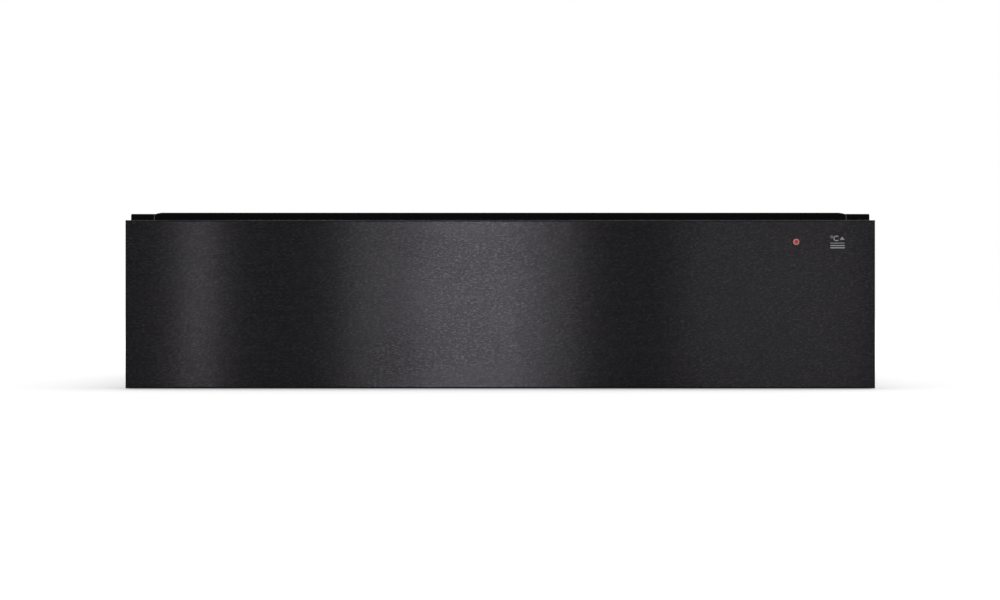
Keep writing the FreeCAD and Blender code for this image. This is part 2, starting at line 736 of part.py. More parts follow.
def selector_spindle():
    z0 = BOARD_Z + BOARD_THICKNESS + 2.4
    plain = rod("z", z0, KNOB_BASE, KNOB_X, BAR_S, SPINDLE_RADIUS)
    return plain.fuse(d_bar(SPINDLE_RADIUS, KNOB_BASE, SPINDLE_TOP, D_FLAT)).removeSplitter()


def temperature_knob():
    """Knob with a many-sided rim and a tapered grip bar across it, on the spindle's D-shaped end."""
    z0 = KNOB_BASE
    disc_top = z0 + KNOB_DISC
    z1 = z0 + KNOB_HEIGHT
    disc = prism("z", z0, disc_top, polygon(KNOB_X, BAR_S, KNOB_RADIUS, KNOB_SIDES))
    half = GRIP_WIDTH / 2
    reach = KNOB_RADIUS - 1.0
    grip = [
        (KNOB_X - half - 1.0, disc_top),
        (KNOB_X + half + 1.0, disc_top),
        (KNOB_X + half, z1, 1.5),
        (KNOB_X - half, z1, 1.5),
    ]
    bar = prism("s", BAR_S - reach, BAR_S + reach, grip)
    socket = d_bar(SPINDLE_RADIUS + RUNNING_FIT, z0 - 1, SPINDLE_TOP, D_FLAT + RUNNING_FIT)
    return joined([disc, bar]).cut(socket)


def switch_housing():
    """Snap-in rocker housing with a bezel on the bar and three blade terminals below."""
    x = SWITCH_X
    hx = SWITCH_HALF_X
    hs = SWITCH_HALF_S
    well_bottom = ROCKER_Z - 9.0
    z0 = well_bottom - 2.0
    bezel_top = BAR_TOP + 1.5
    body = box(x - hx, x + hx, BAR_S - hs, BAR_S + hs, z0, BAR_TOP)
    bezel = prism("z", BAR_TOP, bezel_top, slot(x, BAR_S, 2 * hx + 3.0, 2 * hs + 3.0, 1.2))
    blades = []
    for i in (-1, 0, 1):
        blades.append(box(x + 6 * i - 0.4, x + 6 * i + 0.4, BAR_S - 2.4, BAR_S + 2.4, z0 - 7, z0))
    wall_x = ROCKER_LENGTH / 2 + 1.0
    wall_s = ROCKER_WIDTH / 2 + FIT
    well = box(x - wall_x, x + wall_x, BAR_S - wall_s, BAR_S + wall_s, well_bottom, bezel_top + 1)
    r = PIVOT_RADIUS + RUNNING_FIT
    pin = box(x - r, x + r, BAR_S - hs + 0.4, BAR_S + hs - 0.4, ROCKER_Z - r, ROCKER_Z + r)
    return joined([body, bezel] + blades).cut(well).cut(pin)


def power_rocker():
    """Rocker with a hollowed top, a keel underneath and pivot stubs; at rest it lies at off."""
    half = ROCKER_LENGTH / 2
    top = [
        (SWITCH_X - half, ROCKER_Z + 5.6),
        (SWITCH_X - half + 1.3, ROCKER_Z - 4.0),
        (SWITCH_X, ROCKER_Z - 6.6),
        (SWITCH_X + half - 1.3, ROCKER_Z - 4.0),
        (SWITCH_X + half, ROCKER_Z + 5.6),
        (SWITCH_X, ROCKER_Z + 3.8, 20.0),
    ]
    cap = prism("s", BAR_S - ROCKER_WIDTH / 2, BAR_S + ROCKER_WIDTH / 2, top)
    reach = SWITCH_HALF_S - 0.6
    stubs = rod("s", BAR_S - reach, BAR_S + reach, SWITCH_X, ROCKER_Z, PIVOT_RADIUS)
    rocker = joined([cap, stubs])
    rocker.rotate(V(SWITCH_X, BAR_S, ROCKER_Z), V(0, 1, 0), -ROCKER_TILT)
    return rocker


# Fan and heater


def blade_outline():
    """Section of one blade: a strip of even thickness along an arc from its root to its tip."""
    root = 0.77 * IMPELLER_RADIUS
    tip = IMPELLER_RADIUS - 0.7
    lead = math.radians(BLADE_LEAD)
    step_s = tip * math.cos(lead) - root
    step_z = tip * math.sin(lead)
    chord = math.hypot(step_s, step_z)
    offset = math.sqrt(BLADE_CURVE**2 - (chord / 2) ** 2)
    centre_s = FAN_S + root + step_s / 2 - step_z / chord * offset
    centre_z = FAN_Z + step_z / 2 + step_s / chord * offset
    start = math.atan2(FAN_Z - centre_z, FAN_S + root - centre_s)
    end = start + 2 * math.asin(chord / 2 / BLADE_CURVE)

    def at(radius, turn):
        return V(0, centre_s + radius * math.cos(turn), centre_z + radius * math.sin(turn))

    back = BLADE_CURVE + BLADE_THICKNESS / 2
    face = BLADE_CURVE - BLADE_THICKNESS / 2
    middle = (start + end) / 2
    edges = [
        Part.Arc(at(back, start), at(back, middle), at(back, end)).toShape(),
        Part.LineSegment(at(back, end), at(face, end)).toShape(),
        Part.Arc(at(face, end), at(face, middle), at(face, start)).toShape(),
        Part.LineSegment(at(face, start), at(back, start)).toShape(),
    ]
    return Part.Wire(edges)


def fan_wheel():
    """Cross-flow impeller: forward-curved blades between two end discs, a stub and a hub."""
    blade = Part.Face(blade_outline()).extrude(V(IMPELLER_LENGTH - DISC_THICKNESS, 0, 0))
    blade.translate(V(IMPELLER_LEFT + DISC_THICKNESS / 2, 0, 0))
    blades = []
    for i in range(BLADES):
        turned = blade.copy()
        turned.rotate(V(0, FAN_S, FAN_Z), V(1, 0, 0), 360.0 * i / BLADES)
        blades.append(turned)
    left = rod("x", IMPELLER_LEFT, IMPELLER_LEFT + DISC_THICKNESS, FAN_S, FAN_Z, IMPELLER_RADIUS)
    right = rod("x", IMPELLER_RIGHT - DISC_THICKNESS, IMPELLER_RIGHT, FAN_S, FAN_Z, IMPELLER_RADIUS)
    stub = rod("x", IMPELLER_LEFT - STUB_LENGTH, IMPELLER_LEFT, FAN_S, FAN_Z, SHAFT_RADIUS)
    hub_start = IMPELLER_RIGHT - HUB_LENGTH
    hub = rod("x", hub_start, IMPELLER_RIGHT, FAN_S, FAN_Z, HUB_RADIUS)
    bore = rod("x", hub_start + 1, IMPELLER_RIGHT + 1, FAN_S, FAN_Z, SHAFT_RADIUS)
    return left.multiFuse([right, stub, hub] + blades).cut(bore)


PLATE = 1.2
HOUSING_LEFT = IMPELLER_LEFT - 3.8
HOUSING_RIGHT = IMPELLER_RIGHT + 2.0
HOUSING_END = HOUSING_RIGHT + PLATE
CORE_X0 = HOUSING_END + 12.0
CORE_X1 = CORE_X0 + 16.0
BRIDGE = 3.0
BEARING_HALF = 6.0


def duct_floor_z(s):
    """Height of the outlet duct's sloping floor."""
    slope_start = FAN_S - 6.0
    fall = (SCROLL_BOTTOM - FLOOR_Z - 6.0) / (slope_start - S_WALL_BACK)
    return SCROLL_BOTTOM - max(0.0, slope_start - s) * fall


def fan_housing():
    """Scroll, vortex wall and outlet floor of bent sheet between two end plates."""
    t = SCROLL_SHEET
    x0 = HOUSING_LEFT - PLATE
    x1 = HOUSING_END
    outer = rod("x", x0, x1, FAN_S, SCROLL_Z, SCROLL_RADIUS + t)
    inner = rod("x", x0 - 1, x1 + 1, FAN_S, SCROLL_Z, SCROLL_RADIUS)
    scroll = outer.cut(inner)
    behind = box(x0, x1, FAN_S, FAN_S + 2 * SCROLL_RADIUS, SCROLL_Z - 2 * SCROLL_RADIUS, Z_TOP)
    scroll = scroll.common(behind)
    kink = FAN_S - 6.0
    low = duct_floor_z(S_WALL_BACK)
    floor = [
        (FAN_S + 0.5, SCROLL_BOTTOM),
        (kink, SCROLL_BOTTOM),
        (S_WALL_BACK, low),
        (S_WALL_BACK, low - t),
        (kink, SCROLL_BOTTOM - t),
        (FAN_S + 0.5, SCROLL_BOTTOM - t),
    ]
    lip = IMPELLER_RADIUS + 2.05
    wall_z = HEATER_Z + 11.6
    tip = (FAN_S - lip * math.cos(math.radians(26)), FAN_Z - lip * math.sin(math.radians(26)))
    vortex = [
        (S_WALL_BACK, wall_z),
        (tip[0] - 1.5, wall_z),
        (tip[0], tip[1]),
        (tip[0] - t, tip[1] + 0.2),
        (tip[0] - 1.5 - t, wall_z + t),
        (S_WALL_BACK, wall_z + t),
    ]
    rear = FAN_S + SCROLL_RADIUS + t
    top = FAN_Z + IMPELLER_RADIUS + 4.0
    cut = 0.55 * SCROLL_RADIUS
    end = [
        (S_WALL_BACK, low - t),
        (kink, SCROLL_BOTTOM - t),
        (rear - cut, SCROLL_BOTTOM - t),
        (rear, SCROLL_BOTTOM - t + cut),
        (rear, top - cut),
        (rear - cut, top),
        (S_WALL_BACK + 8.0, top),
        (S_WALL_BACK, FAN_Z + 12.0),
    ]
    pieces = [scroll, prism("x", x0, x1, floor), prism("x", x0, x1, vortex)]
    pieces.append(prism("x", x0, HOUSING_LEFT, end))
    pieces.append(prism("x", HOUSING_RIGHT, x1, end))
    housing = joined(pieces)
    openings = [bearing_block(x0 - 1, HOUSING_LEFT + 1, BEARING_HALF + RUNNING_FIT)]
    openings.append(rod("x", HOUSING_RIGHT - 1, x1 + 1, FAN_S, FAN_Z, HUB_RADIUS))
    r = HEATER_RADIUS + 0.1
    z = HEATER_Z
    reach = HEATER_PITCH / 2 + r
    openings.append(box(HOUSING_RIGHT - 1, x1 + 1, HEATER_S - r, HEATER_S + r, z - reach, z + reach))
    return housing.cut(Part.makeCompound(openings))


def bearing_block(x0, x1, half):
    return box(x0, x1, FAN_S - half, FAN_S + half, FAN_Z - half, FAN_Z + half)


def fan_bearing():
    """Square rubber block with the bearing bore, pushed into the housing's left end plate."""
    x0 = HOUSING_LEFT - PLATE - 3.0
    x1 = HOUSING_LEFT + 1.5
    bore = rod("x", x0 - 1, x1 + 1, FAN_S, FAN_Z, SHAFT_RADIUS + RUNNING_FIT)
    return bearing_block(x0, x1, BEARING_HALF).cut(bore)


def motor_rotor():
    """Rotor drum pressed on the shaft, which also carries the impeller's hub."""
    shaft = rod("x", IMPELLER_RIGHT - HUB_LENGTH + 1, CORE_X1 + 13.0, FAN_S, FAN_Z, SHAFT_RADIUS)
    drum = rod("x", CORE_X0 + 1.0, CORE_X1 - 1.0, FAN_S, FAN_Z, ROTOR_RADIUS)
    return joined([shaft, drum])


CORE_HALF = 20.0
LEG_LOW = FLOOR_Z + 9.0
LEG_HIGH = LEG_LOW + 12.0


def motor_core():
    """Laminated frame of the shaded-pole motor: bore above, coil leg below, shading slots."""
    s = FAN_S
    top = FAN_Z + CORE_HALF + 1.0
    frame = slot(s, (LEG_LOW + top) / 2, 2 * CORE_HALF, top - LEG_LOW, 4.0)
    window = box(CORE_X0 - 1, CORE_X1 + 1, s - 10, s + 10, LEG_HIGH, LEG_HIGH + 17.0)
    bore = rod("x", CORE_X0 - 1, CORE_X1 + 1, s, FAN_Z, ROTOR_RADIUS + AIR_GAP)
    cuts = [window, bore]
    for side in (-1, 1):
        slot_s = s + side * (ROTOR_RADIUS + 2.0)
        slot_z = FAN_Z + side * 5.0
        cuts.append(box(CORE_X0 - 1, CORE_X1 + 1, slot_s - 2.6, slot_s + 2.6, slot_z - 1, slot_z + 1))
    return prism("x", CORE_X0, CORE_X1, frame).cut(Part.makeCompound(cuts))


def motor_coil():
    """Moulded winding round the frame's lower leg."""
    width = CORE_X1 - CORE_X0 + 15.0
    height = LEG_HIGH - LEG_LOW + 14.0
    around_leg = slot((CORE_X0 + CORE_X1) / 2, (LEG_LOW + LEG_HIGH) / 2, width, height, 4.0)
    coil = prism("s", FAN_S - 9.7, FAN_S + 9.7, around_leg)
    return coil.cut(box(CORE_X0, CORE_X1, FAN_S - 10, FAN_S + 10, LEG_LOW, LEG_HIGH))


def motor_bridges():
    """Bearing bridges on both faces of the frame; the left one bolts the motor to the housing."""
    bridges = []
    for foot0, foot1, bar0, boss0, boss1 in (
        (HOUSING_END, CORE_X0, HOUSING_END + 2.0, HOUSING_END, HOUSING_END + 7.0),
        (CORE_X1, CORE_X1 + 8.0, CORE_X1 + 5.0, CORE_X1 + 3.5, CORE_X1 + 11.0),
    ):
        z0 = FAN_Z - 6.0
        z1 = FAN_Z + 6.0
        pieces = [box(bar0, bar0 + BRIDGE, FAN_S - CORE_HALF, FAN_S + CORE_HALF, z0, z1)]
        for side in (-1, 1):
            s0, s1 = sorted((FAN_S + side * CORE_HALF, FAN_S + side * (CORE_HALF - 4.0)))
            pieces.append(box(foot0, foot1, s0, s1, z0, z1))
        pieces.append(box(boss0, boss1, FAN_S - 7.0, FAN_S + 7.0, z0, z1))
        bore = rod("x", boss0 - 1, boss1 + 1, FAN_S, FAN_Z, SHAFT_RADIUS + RUNNING_FIT)
        bridges.append(joined(pieces).cut(bore))
    return Part.makeCompound(bridges)


def heater_legs():
    return (HEATER_Z - HEATER_PITCH / 2, HEATER_Z + HEATER_PITCH / 2)


HEATER_X0 = IMPELLER_LEFT + 8.0
HEATER_X1 = HOUSING_END + 6.0


def heater_tubes():
    """Two straight heating tubes, one above the other in the outlet duct."""
    tubes = [rod("x", HEATER_X0, HEATER_X1, HEATER_S, z, HEATER_RADIUS) for z in heater_legs()]
    return Part.makeCompound(tubes)


def heater_ends():
    """Ceramic end pieces that hold both tubes; the right one seats in the housing's end plate."""
    blocks = []
    r = HEATER_RADIUS
    half = HEATER_PITCH / 2 + r
    for x0, x1 in ((HEATER_X0 - 4.0, HEATER_X0), (HEATER_X1, HEATER_X1 + 5.0)):
        blocks.append(box(x0, x1, HEATER_S - r, HEATER_S + r, HEATER_Z - half, HEATER_Z + half))
    return Part.makeCompound(blocks)


def heater_brackets():
    """Two comb plates on the louvred wall; the tubes are pushed into their open notches."""
    far = HEATER_S + 2.0
    plates = []
    for x in (HEATER_X0 + 30.0, HEATER_X1 - 40.0):
        corners = [
            (S_WALL_BACK, duct_floor_z(S_WALL_BACK) + 1.3),
            (far, duct_floor_z(far) + 1.3),
            (far, HEATER_Z + 10.5),
            (S_WALL_BACK, HEATER_Z + 10.5),
        ]
        plate = prism("x", x, x + 1.0, corners)
        for z in heater_legs():
            r = HEATER_RADIUS + RUNNING_FIT
            plate = plate.cut(box(x - 1, x + 2, HEATER_S - r, far + 1, z - r, z + r))
        plates.append(plate)
    return Part.makeCompound(plates)


def thermal_cutout():
    """Safety thermostat with two tabs on the housing's left end plate."""
    face = HOUSING_LEFT - PLATE
    s = FAN_S - 16.0
    z = HEATER_Z + 2.0
    body = prism("x", face - 6.5, face, slot(s, z, 14.0, 14.0, 3.0))
    tabs = [box(face - 14.0, face - 6.5, s - 3, s + 3, z + dz, z + dz + 0.8) for dz in (-4.5, 3.7)]
    return joined([body] + tabs)


def temperature_sensor():
    """Rod sensor in a fork on the wall, in the air that returns to the fan."""
    r = 2.5
    s = S_WALL_BACK + 5.0
    z = BOX_TOP - 12.0
    fork = box(-26, -16, S_WALL_BACK, s + 4.5, z - r - 1.5, z + r + 1.5)
    fork = fork.cut(box(-27, -15, s - r, s + 5, z - r, z + r))
    return Part.makeCompound([fork, rod("x", -46, 0, s, z, r)])


# Ejector and mains connection


PLUNGER_LENGTH = 26.0
SPRING_RADIUS = 4.2
EJECTOR_FOOT = 3.0


def latch_housing():
    """Push-to-open ejector: square barrel with gussets on a foot against the back panel."""
    s1 = S_BACK - SHEET
    s0 = STRIKE_S + PLUNGER_TRAVEL + 5.0
    half = PLUNGER_RADIUS + 3.0
    barrel = box(-half, half, s0, s1, RUNNER_Z - half, RUNNER_Z + half)
    foot = prism("s", s1 - EJECTOR_FOOT, s1, slot(0, RUNNER_Z, 52.0, 24.0, 4.0))
    gussets = []
    for side in (-1, 1):
        corners = [
            (side * (half - 1.0), s0 + 6.0),
            (side * half, s0 + 6.0),
            (side * 24.0, s1 - EJECTOR_FOOT),
            (side * (half - 1.0), s1 - EJECTOR_FOOT),
        ]
        gussets.append(prism("z", RUNNER_Z - 1.2, RUNNER_Z + 1.2, corners))
    bore = rod("s", s0 - 1, s1 - EJECTOR_FOOT, 0, RUNNER_Z, PLUNGER_RADIUS + RUNNING_FIT)
    return joined([barrel, foot] + gussets).cut(bore)


def latch_plunger():
    """Plunger whose flat tip meets the strike plate."""
    return rod("s", STRIKE_S, STRIKE_S + PLUNGER_LENGTH, 0, RUNNER_Z, PLUNGER_RADIUS)


def latch_spring():
    """Sleeve in the place of the ejector's compression spring, between plunger and foot."""
    s0 = STRIKE_S + PLUNGER_LENGTH
    s1 = S_BACK - SHEET - EJECTOR_FOOT
    sleeve = prism("s", s0 + PLUNGER_TRAVEL, s1, polygon(0, RUNNER_Z, SPRING_RADIUS, 8))
    return sleeve.cut(prism("s", s0, s1 + 1, polygon(0, RUNNER_Z, SPRING_RADIUS - 0.9, 8)))


TERMINAL_DEPTH = 29.0


def terminal_box():
    """Moulded box over the mains inlet, on the inside of the back panel."""
    s1 = S_BACK - SHEET
    s0 = s1 - TERMINAL_DEPTH
    x = INLET_X
    z = INLET_Z
    shell = prism("s", s0, s1, slot(x, z, 68.0, 50.0, 4.0))
    hollow = box(x - 32, x + 32, s0 - 1, s1 - 2, z - 23, z + 23)
    hole = rod("s", s1 - 3, s1 + 1, x, z, BUSH_RADIUS + RUNNING_FIT)
    return shell.cut(hollow).cut(hole)


def terminal_cover():
    """Lid with a plug-in rim on the connection box."""
    s1 = S_BACK - SHEET - TERMINAL_DEPTH
    x = INLET_X
    z = INLET_Z
    lid = prism("s", s1 - 2.0, s1, slot(x, z, 68.0, 50.0, 4.0))
    rim = box(x - 31.7, x + 31.7, s1, s1 + 4.0, z - 22.7, z + 22.7)
    inner = box(x - 30.2, x + 30.2, s1, s1 + 5.0, z - 21.2, z + 21.2)
    return lid.fuse(rim.cut(inner)).removeSplitter()


def terminal_block():
    """Three-pole screw terminal block on the connection box's floor."""
    s1 = S_BACK - SHEET - 2.0
    x = INLET_X + 4.0
    z = INLET_Z + 15.0
    block = box(x - 12, x + 24, s1 - 14, s1, z - 6.5, z + 6.5)
    wells = []
    for i in range(3):
        well_x = x - 6 + 12 * i
        wells.append(box(well_x - 3, well_x + 3, s1 - 15, s1 - 5, z - 3, z + 3))
    return block.cut(Part.makeCompound(wells))


def cable_bush():
    """Cable gland: hexagon body outside, threaded tube through the back panel and the box."""
    body = prism("s", S_BACK, S_BACK + BUSH_OUT, polygon(INLET_X, INLET_Z, BUSH_RADIUS + 2.8, 6))
    tube = rod("s", S_BACK - 8.0, S_BACK, INLET_X, INLET_Z, BUSH_RADIUS)
    bore = rod("s", S_BACK - 9.0, S_BACK + BUSH_OUT + 1, INLET_X, INLET_Z, CABLE_HOLE)
    return joined([body, tube]).cut(bore)


def nodes():
    """Every piece by its node name."""
    outer_cage = roller_cage(RUNNER_THICKNESS - 1.8, 2.0 + RUNNER_SHEET, OUTER_ROW)
    inner_cage = roller_cage(MID_WEB - 1.6, 1.6 + RUNNER_SHEET, INNER_ROW)
    pairs = {
        "side_panel": side_panel(),
        "runner_outer": runner_outer(),
        "runner_mid": runner_mid(),
        "runner_inner": runner_inner(),
        "cage_outer": outer_cage,
        "cage_inner": inner_cage,
        "drawer_side": drawer_side(),
    }
    found = {}
    for name, shape in pairs.items():
        found[name + "_right"] = shape
        found[name + "_left"] = mirrored(shape)
    carcass = (
        base_panel, back_panel, top_panel, front_rail, latch_housing, latch_spring, latch_plunger,
        terminal_box, terminal_cover, terminal_block, cable_bush,
    )
    drawer = (
        front_panel, front_core, front_inner_plate, front_buffers, front_brackets, lamp_holder,
        lamp_lens, drawer_floor, anti_slip_mat, drawer_back_wall, rear_cover, compartment_lid,
        strike_plate, control_bar, control_bar_cover, control_board, selector_body,
        selector_spindle, temperature_knob, switch_housing, power_rocker,
    )
    fan = (
        fan_wheel, fan_housing, fan_bearing, motor_rotor, motor_core, motor_coil, motor_bridges,
        heater_tubes, heater_ends, heater_brackets, thermal_cutout, temperature_sensor,
    )
    for maker in carcass + drawer + fan:
        found[maker.__name__] = maker()
    return found


os.makedirs("parts", exist_ok=True)
for node, piece in nodes().items():
    piece = piece.copy()
    piece.translate(V(0, -OVERALL_DEPTH / 2, 0))
    piece.exportStep("parts/" + node + ".step")
print("overall", 2 * X_FRONT, OVERALL_DEPTH, OVERALL_HEIGHT)
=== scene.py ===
import logging
import math
from abc import ABC, abstractmethod
from collections.abc import Sequence
from dataclasses import dataclass, replace
from enum import Enum
from typing import ClassVar

import bpy
import numpy as np
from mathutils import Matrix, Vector


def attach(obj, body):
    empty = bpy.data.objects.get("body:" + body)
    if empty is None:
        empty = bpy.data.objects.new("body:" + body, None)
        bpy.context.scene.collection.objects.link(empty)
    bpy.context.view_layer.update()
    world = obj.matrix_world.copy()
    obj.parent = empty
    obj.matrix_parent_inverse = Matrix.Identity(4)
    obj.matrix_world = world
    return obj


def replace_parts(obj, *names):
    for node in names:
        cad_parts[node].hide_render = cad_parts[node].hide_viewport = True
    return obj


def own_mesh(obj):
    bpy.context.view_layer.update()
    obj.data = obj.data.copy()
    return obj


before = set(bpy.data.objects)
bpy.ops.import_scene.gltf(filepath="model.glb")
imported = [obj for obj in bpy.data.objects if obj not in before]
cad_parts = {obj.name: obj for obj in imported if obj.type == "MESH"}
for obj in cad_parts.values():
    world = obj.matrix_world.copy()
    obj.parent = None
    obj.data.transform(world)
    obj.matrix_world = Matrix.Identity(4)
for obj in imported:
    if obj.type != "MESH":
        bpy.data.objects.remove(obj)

# Looks of a built-in warming drawer: a brushed black steel front with a red pilot lamp and a small
# printed sign, a black coated carcass behind it, and a stainless steel drawer on telescopic runners.
# Lengths are metres, in the frame of the CAD model: X to the right, Y away from the viewer, Z up.
# Sizes inside the classes and finishes are millimetres, and MM turns them into metres.

MM = 0.001
Array = np.ndarray
Tree = bpy.types.NodeTree
Socket = bpy.types.NodeSocket
Pair = tuple[float, float]
Row = tuple[float, ...]
# Where repeated pieces lie: one x, y and z each, or several of one kind
Places = tuple[float | Row, ...]
Vector3 = tuple[float, float, float]
RIGHT: Vector3 = (1.0, 0.0, 0.0)
LEFT: Vector3 = (-1.0, 0.0, 0.0)
BACK: Vector3 = (0.0, 1.0, 0.0)
FRONT: Vector3 = (0.0, -1.0, 0.0)
UP: Vector3 = (0.0, 0.0, 1.0)
DOWN: Vector3 = (0.0, 0.0, -1.0)
# The two sides by their sign along X, with the way out of the body and the way into it
OUTWARD = {-1.0: LEFT, 1.0: RIGHT}
INWARD = {-1.0: RIGHT, 1.0: LEFT}
SIDES = tuple(OUTWARD)
log = logging.getLogger("warming_drawer")


# Finishes


def linear(colour: str) -> tuple[float, float, float, float]:
    """Turns an sRGB hex colour into linear light.

    Args:
        colour: The colour as "#RRGGBB".

    Returns:
        Red, green and blue in linear light, and an alpha of 1.
    """
    code = np.array([int(colour[i : i + 2], 16) for i in (1, 3, 5)]) / 255.0
    light = np.where(code <= 0.04045, code / 12.92, ((code + 0.055) / 1.055) ** 2.4)
    return (*(float(value) for value in light), 1.0)


def fresh_tree(owner: bpy.types.Material | bpy.types.World) -> Tree:
    """Turns on the nodes of a material or a world and clears them."""
    owner.use_nodes = True
    owner.node_tree.nodes.clear()
    return owner.node_tree


def add_node(tree: Tree, kind: str, inputs: dict | None = None, **settings) -> bpy.types.Node:
    """Adds a node to a tree, with its settings, values and links.

    Args:
        tree: The node tree.
        kind: The node's type, as in Blender without ShaderNode before it.
        inputs: Value or output socket for each input, by name or number.
        settings: Properties of the node.

    Returns:
        The new node.
    """
    node = tree.nodes.new("ShaderNode" + kind)
    for key, value in settings.items():
        setattr(node, key, value)
    for key, value in (inputs or {}).items():
        if isinstance(value, Socket):
            tree.links.new(value, node.inputs[key])
        else:
            node.inputs[key].default_value = value
    return node


class Figure(Enum):
    """Kinds of pattern on a surface: the node that draws it and the output that is read."""

    CLOUDS = ("TexNoise", "Fac")
    CELLS = ("TexVoronoi", "Color")
    LINES = ("TexWave", "Fac")


@dataclass(frozen=True)
class Grain:
    """One pattern of a finish, from 0 to 1, and what it does to the surface.

    Sizes are millimetres: how large the pattern's marks are, as one number or along X, Y and Z, and
    how deep its relief is. It mixes in the tint, adds to the roughness and lifts the surface.
    """

    size: float | Vector3
    tint: str | None = None
    figure: Figure = Figure.CLOUDS
    share: float = 0.5
    gloss: float = 0.0
    relief: float = 0.0
    low: float = 0.3
    high: float = 0.7
    detail: float = 2.0

    def factor(self, tree: Tree, place: Socket) -> Socket:
        """Draws the pattern.

        Args:
            tree: The material's node tree.
            place: Object coordinates.

        Returns:
            The socket with the pattern from 0 to 1.
        """
        scale = tuple(1.0 / (size * MM) for size in np.broadcast_to(self.size, 3))
        spot = add_node(tree, "Mapping", {"Vector": place, "Scale": scale})
        kind, output = self.figure.value
        inputs = {"Vector": spot.outputs[0], "Scale": 1.0}
        if self.figure is not Figure.CELLS:
            inputs["Detail"] = self.detail
        drawn = add_node(tree, kind, inputs)
        limits = {"Value": drawn.outputs[output], "From Min": self.low, "From Max": self.high}
        return add_node(tree, "MapRange", limits).outputs[0]


@dataclass(frozen=True)
class Finish:
    """A material named for what it is and how its surface was made.

    The colour is sRGB hex. Values that are the same all over the surface are set on the shader's
    own sockets; the grains vary colour, roughness and relief round them.
    """

    name: str
    colour: str
    roughness: float
    metallic: float = 0.0
    grains: tuple[Grain, ...] = ()
    shine: tuple[tuple[str, float | Row], ...] = ()
    glow: float = 0.0

    def material(self) -> bpy.types.Material:
        """Returns the Blender material, made when it is first asked for."""
        known = bpy.data.materials.get(self.name)
        if known:
            return known
        made = bpy.data.materials.new(self.name)
        tree = fresh_tree(made)
        fixed = {"Metallic": self.metallic, "Roughness": self.roughness, "Base Color": linear(self.colour)}
        fixed |= dict(self.shine)
        if self.glow:
            fixed |= {"Emission Color": linear(self.colour), "Emission Strength": self.glow}
        fixed |= self.varied(tree)
        shader = add_node(tree, "BsdfPrincipled", fixed)
        add_node(tree, "OutputMaterial", {"Surface": shader.outputs[0]})
        made.diffuse_color = linear(self.colour)
        return made

    def varied(self, tree: Tree) -> dict[str, Socket]:
        """Chains the grains, each on top of the one before.

        Args:
            tree: The material's node tree.

        Returns:
            The shader's inputs that vary over the surface.
        """
        place = add_node(tree, "TexCoord").outputs["Object"]
        found: dict[str, Socket] = {}
        for grain in self.grains:
            factor = grain.factor(tree, place)
            if grain.tint:
                under = found.get("Base Color", linear(self.colour))
                share = add_node(tree, "Math", {0: factor, 1: grain.share}, operation="MULTIPLY")
                inputs = {0: share.outputs[0], 6: under, 7: linear(grain.tint)}
                found["Base Color"] = add_node(tree, "Mix", inputs, data_type="RGBA").outputs[2]
            if grain.gloss:
                under = found.get("Roughness", self.roughness)
                inputs = {0: factor, 1: grain.gloss, 2: under}
                found["Roughness"] = add_node(
                    tree, "Math", inputs, operation="MULTIPLY_ADD", use_clamp=True
                ).outputs[0]
            if grain.relief:
                inputs = {"Height": factor, "Distance": grain.relief * MM}
                if "Normal" in found:
                    inputs["Normal"] = found["Normal"]
                found["Normal"] = add_node(tree, "Bump", inputs).outputs[0]
        return found


# Stainless steel, brushed along X and coloured black. Brushing spreads each light up and down, so
# soft lamps show as tall bands. The strokes are some 0.05 mm wide; here they are drawn 0.6 mm wide
# so that they show, and the grit's glint as short dashes.
BRUSHED_BLACK_STEEL = Finish(
    "black_brushed_stainless_steel",
    "#181719",
    0.15,
    metallic=1.0,
    grains=(
        Grain((30.0, 0.6, 0.6), "#1D1C1E", share=0.7, gloss=0.03, relief=0.002),
        Grain((2.4, 0.5, 0.5), "#424145", share=0.41, low=0.54, high=0.8, detail=1.0),
        Grain((2.4, 0.5, 0.5), "#050506", share=0.35, low=0.46, high=0.2, detail=1.0),
    ),
    shine=(
        ("Anisotropic", 1.0),
        ("Anisotropic Rotation", 0.25),
        ("Specular Tint", linear("#CBCBCD")),
    ),
)
# Steel sheet with baked black powder coat: nearly matt, greyer where it is seen aslant, with an
# orange peel about 1 mm wide and a few dust nibs.
BLACK_COAT_AND_PAINTED_SHADE = Finish(
    "black_powder_coat_with_painted_shade",
    # The coat is black, and this near-black is darker still: partly painted shade of the recessed strip above
    # the front.
    "#060607",
    0.4,
    grains=(
        Grain(1.2, "#0B0B0C", gloss=0.12, relief=0.02),
        Grain(60.0, "#0C0C0D", share=0.6, gloss=0.06),
        Grain(2.6, "#18181A", Figure.CELLS, share=0.5, low=0.93, high=0.99),
    ),
    shine=(("Specular IOR Level", 0.03), ("Sheen Weight", 0.1), ("Sheen Roughness", 0.35)),
)
# Hot-dip galvanised sheet: zinc flowers about 8 mm across, each with its own shine.
GALVANISED = Finish(
    "galvanised_steel_sheet",
    "#A7ABAE",
    0.36,
    metallic=1.0,
    grains=(
        Grain(8.0, "#8E9397", Figure.CELLS, share=0.7, gloss=0.14, low=0.2, high=0.8),
        Grain(3.5, "#B9BDC0", Figure.CELLS, share=0.4, low=0.4, high=0.9),
        Grain(1.0, gloss=0.05, relief=0.004),
    ),
)
# Cold-rolled stainless sheet with a ground finish along X: fine lines, drawn 0.6 mm apart so that
# they show, and a soft stretched shine.
GROUND_STAINLESS = Finish(
    "ground_stainless_steel_sheet",
    "#B2B0AD",
    0.3,
    metallic=1.0,
    grains=(
        Grain((34.0, 0.6, 0.6), "#9B9996", share=0.75, gloss=0.08, relief=0.003),
        Grain(90.0, "#BFBDBA", share=0.5, gloss=0.05),
    ),
    shine=(("Anisotropic", 0.6), ("Anisotropic Rotation", 0.25)),
)
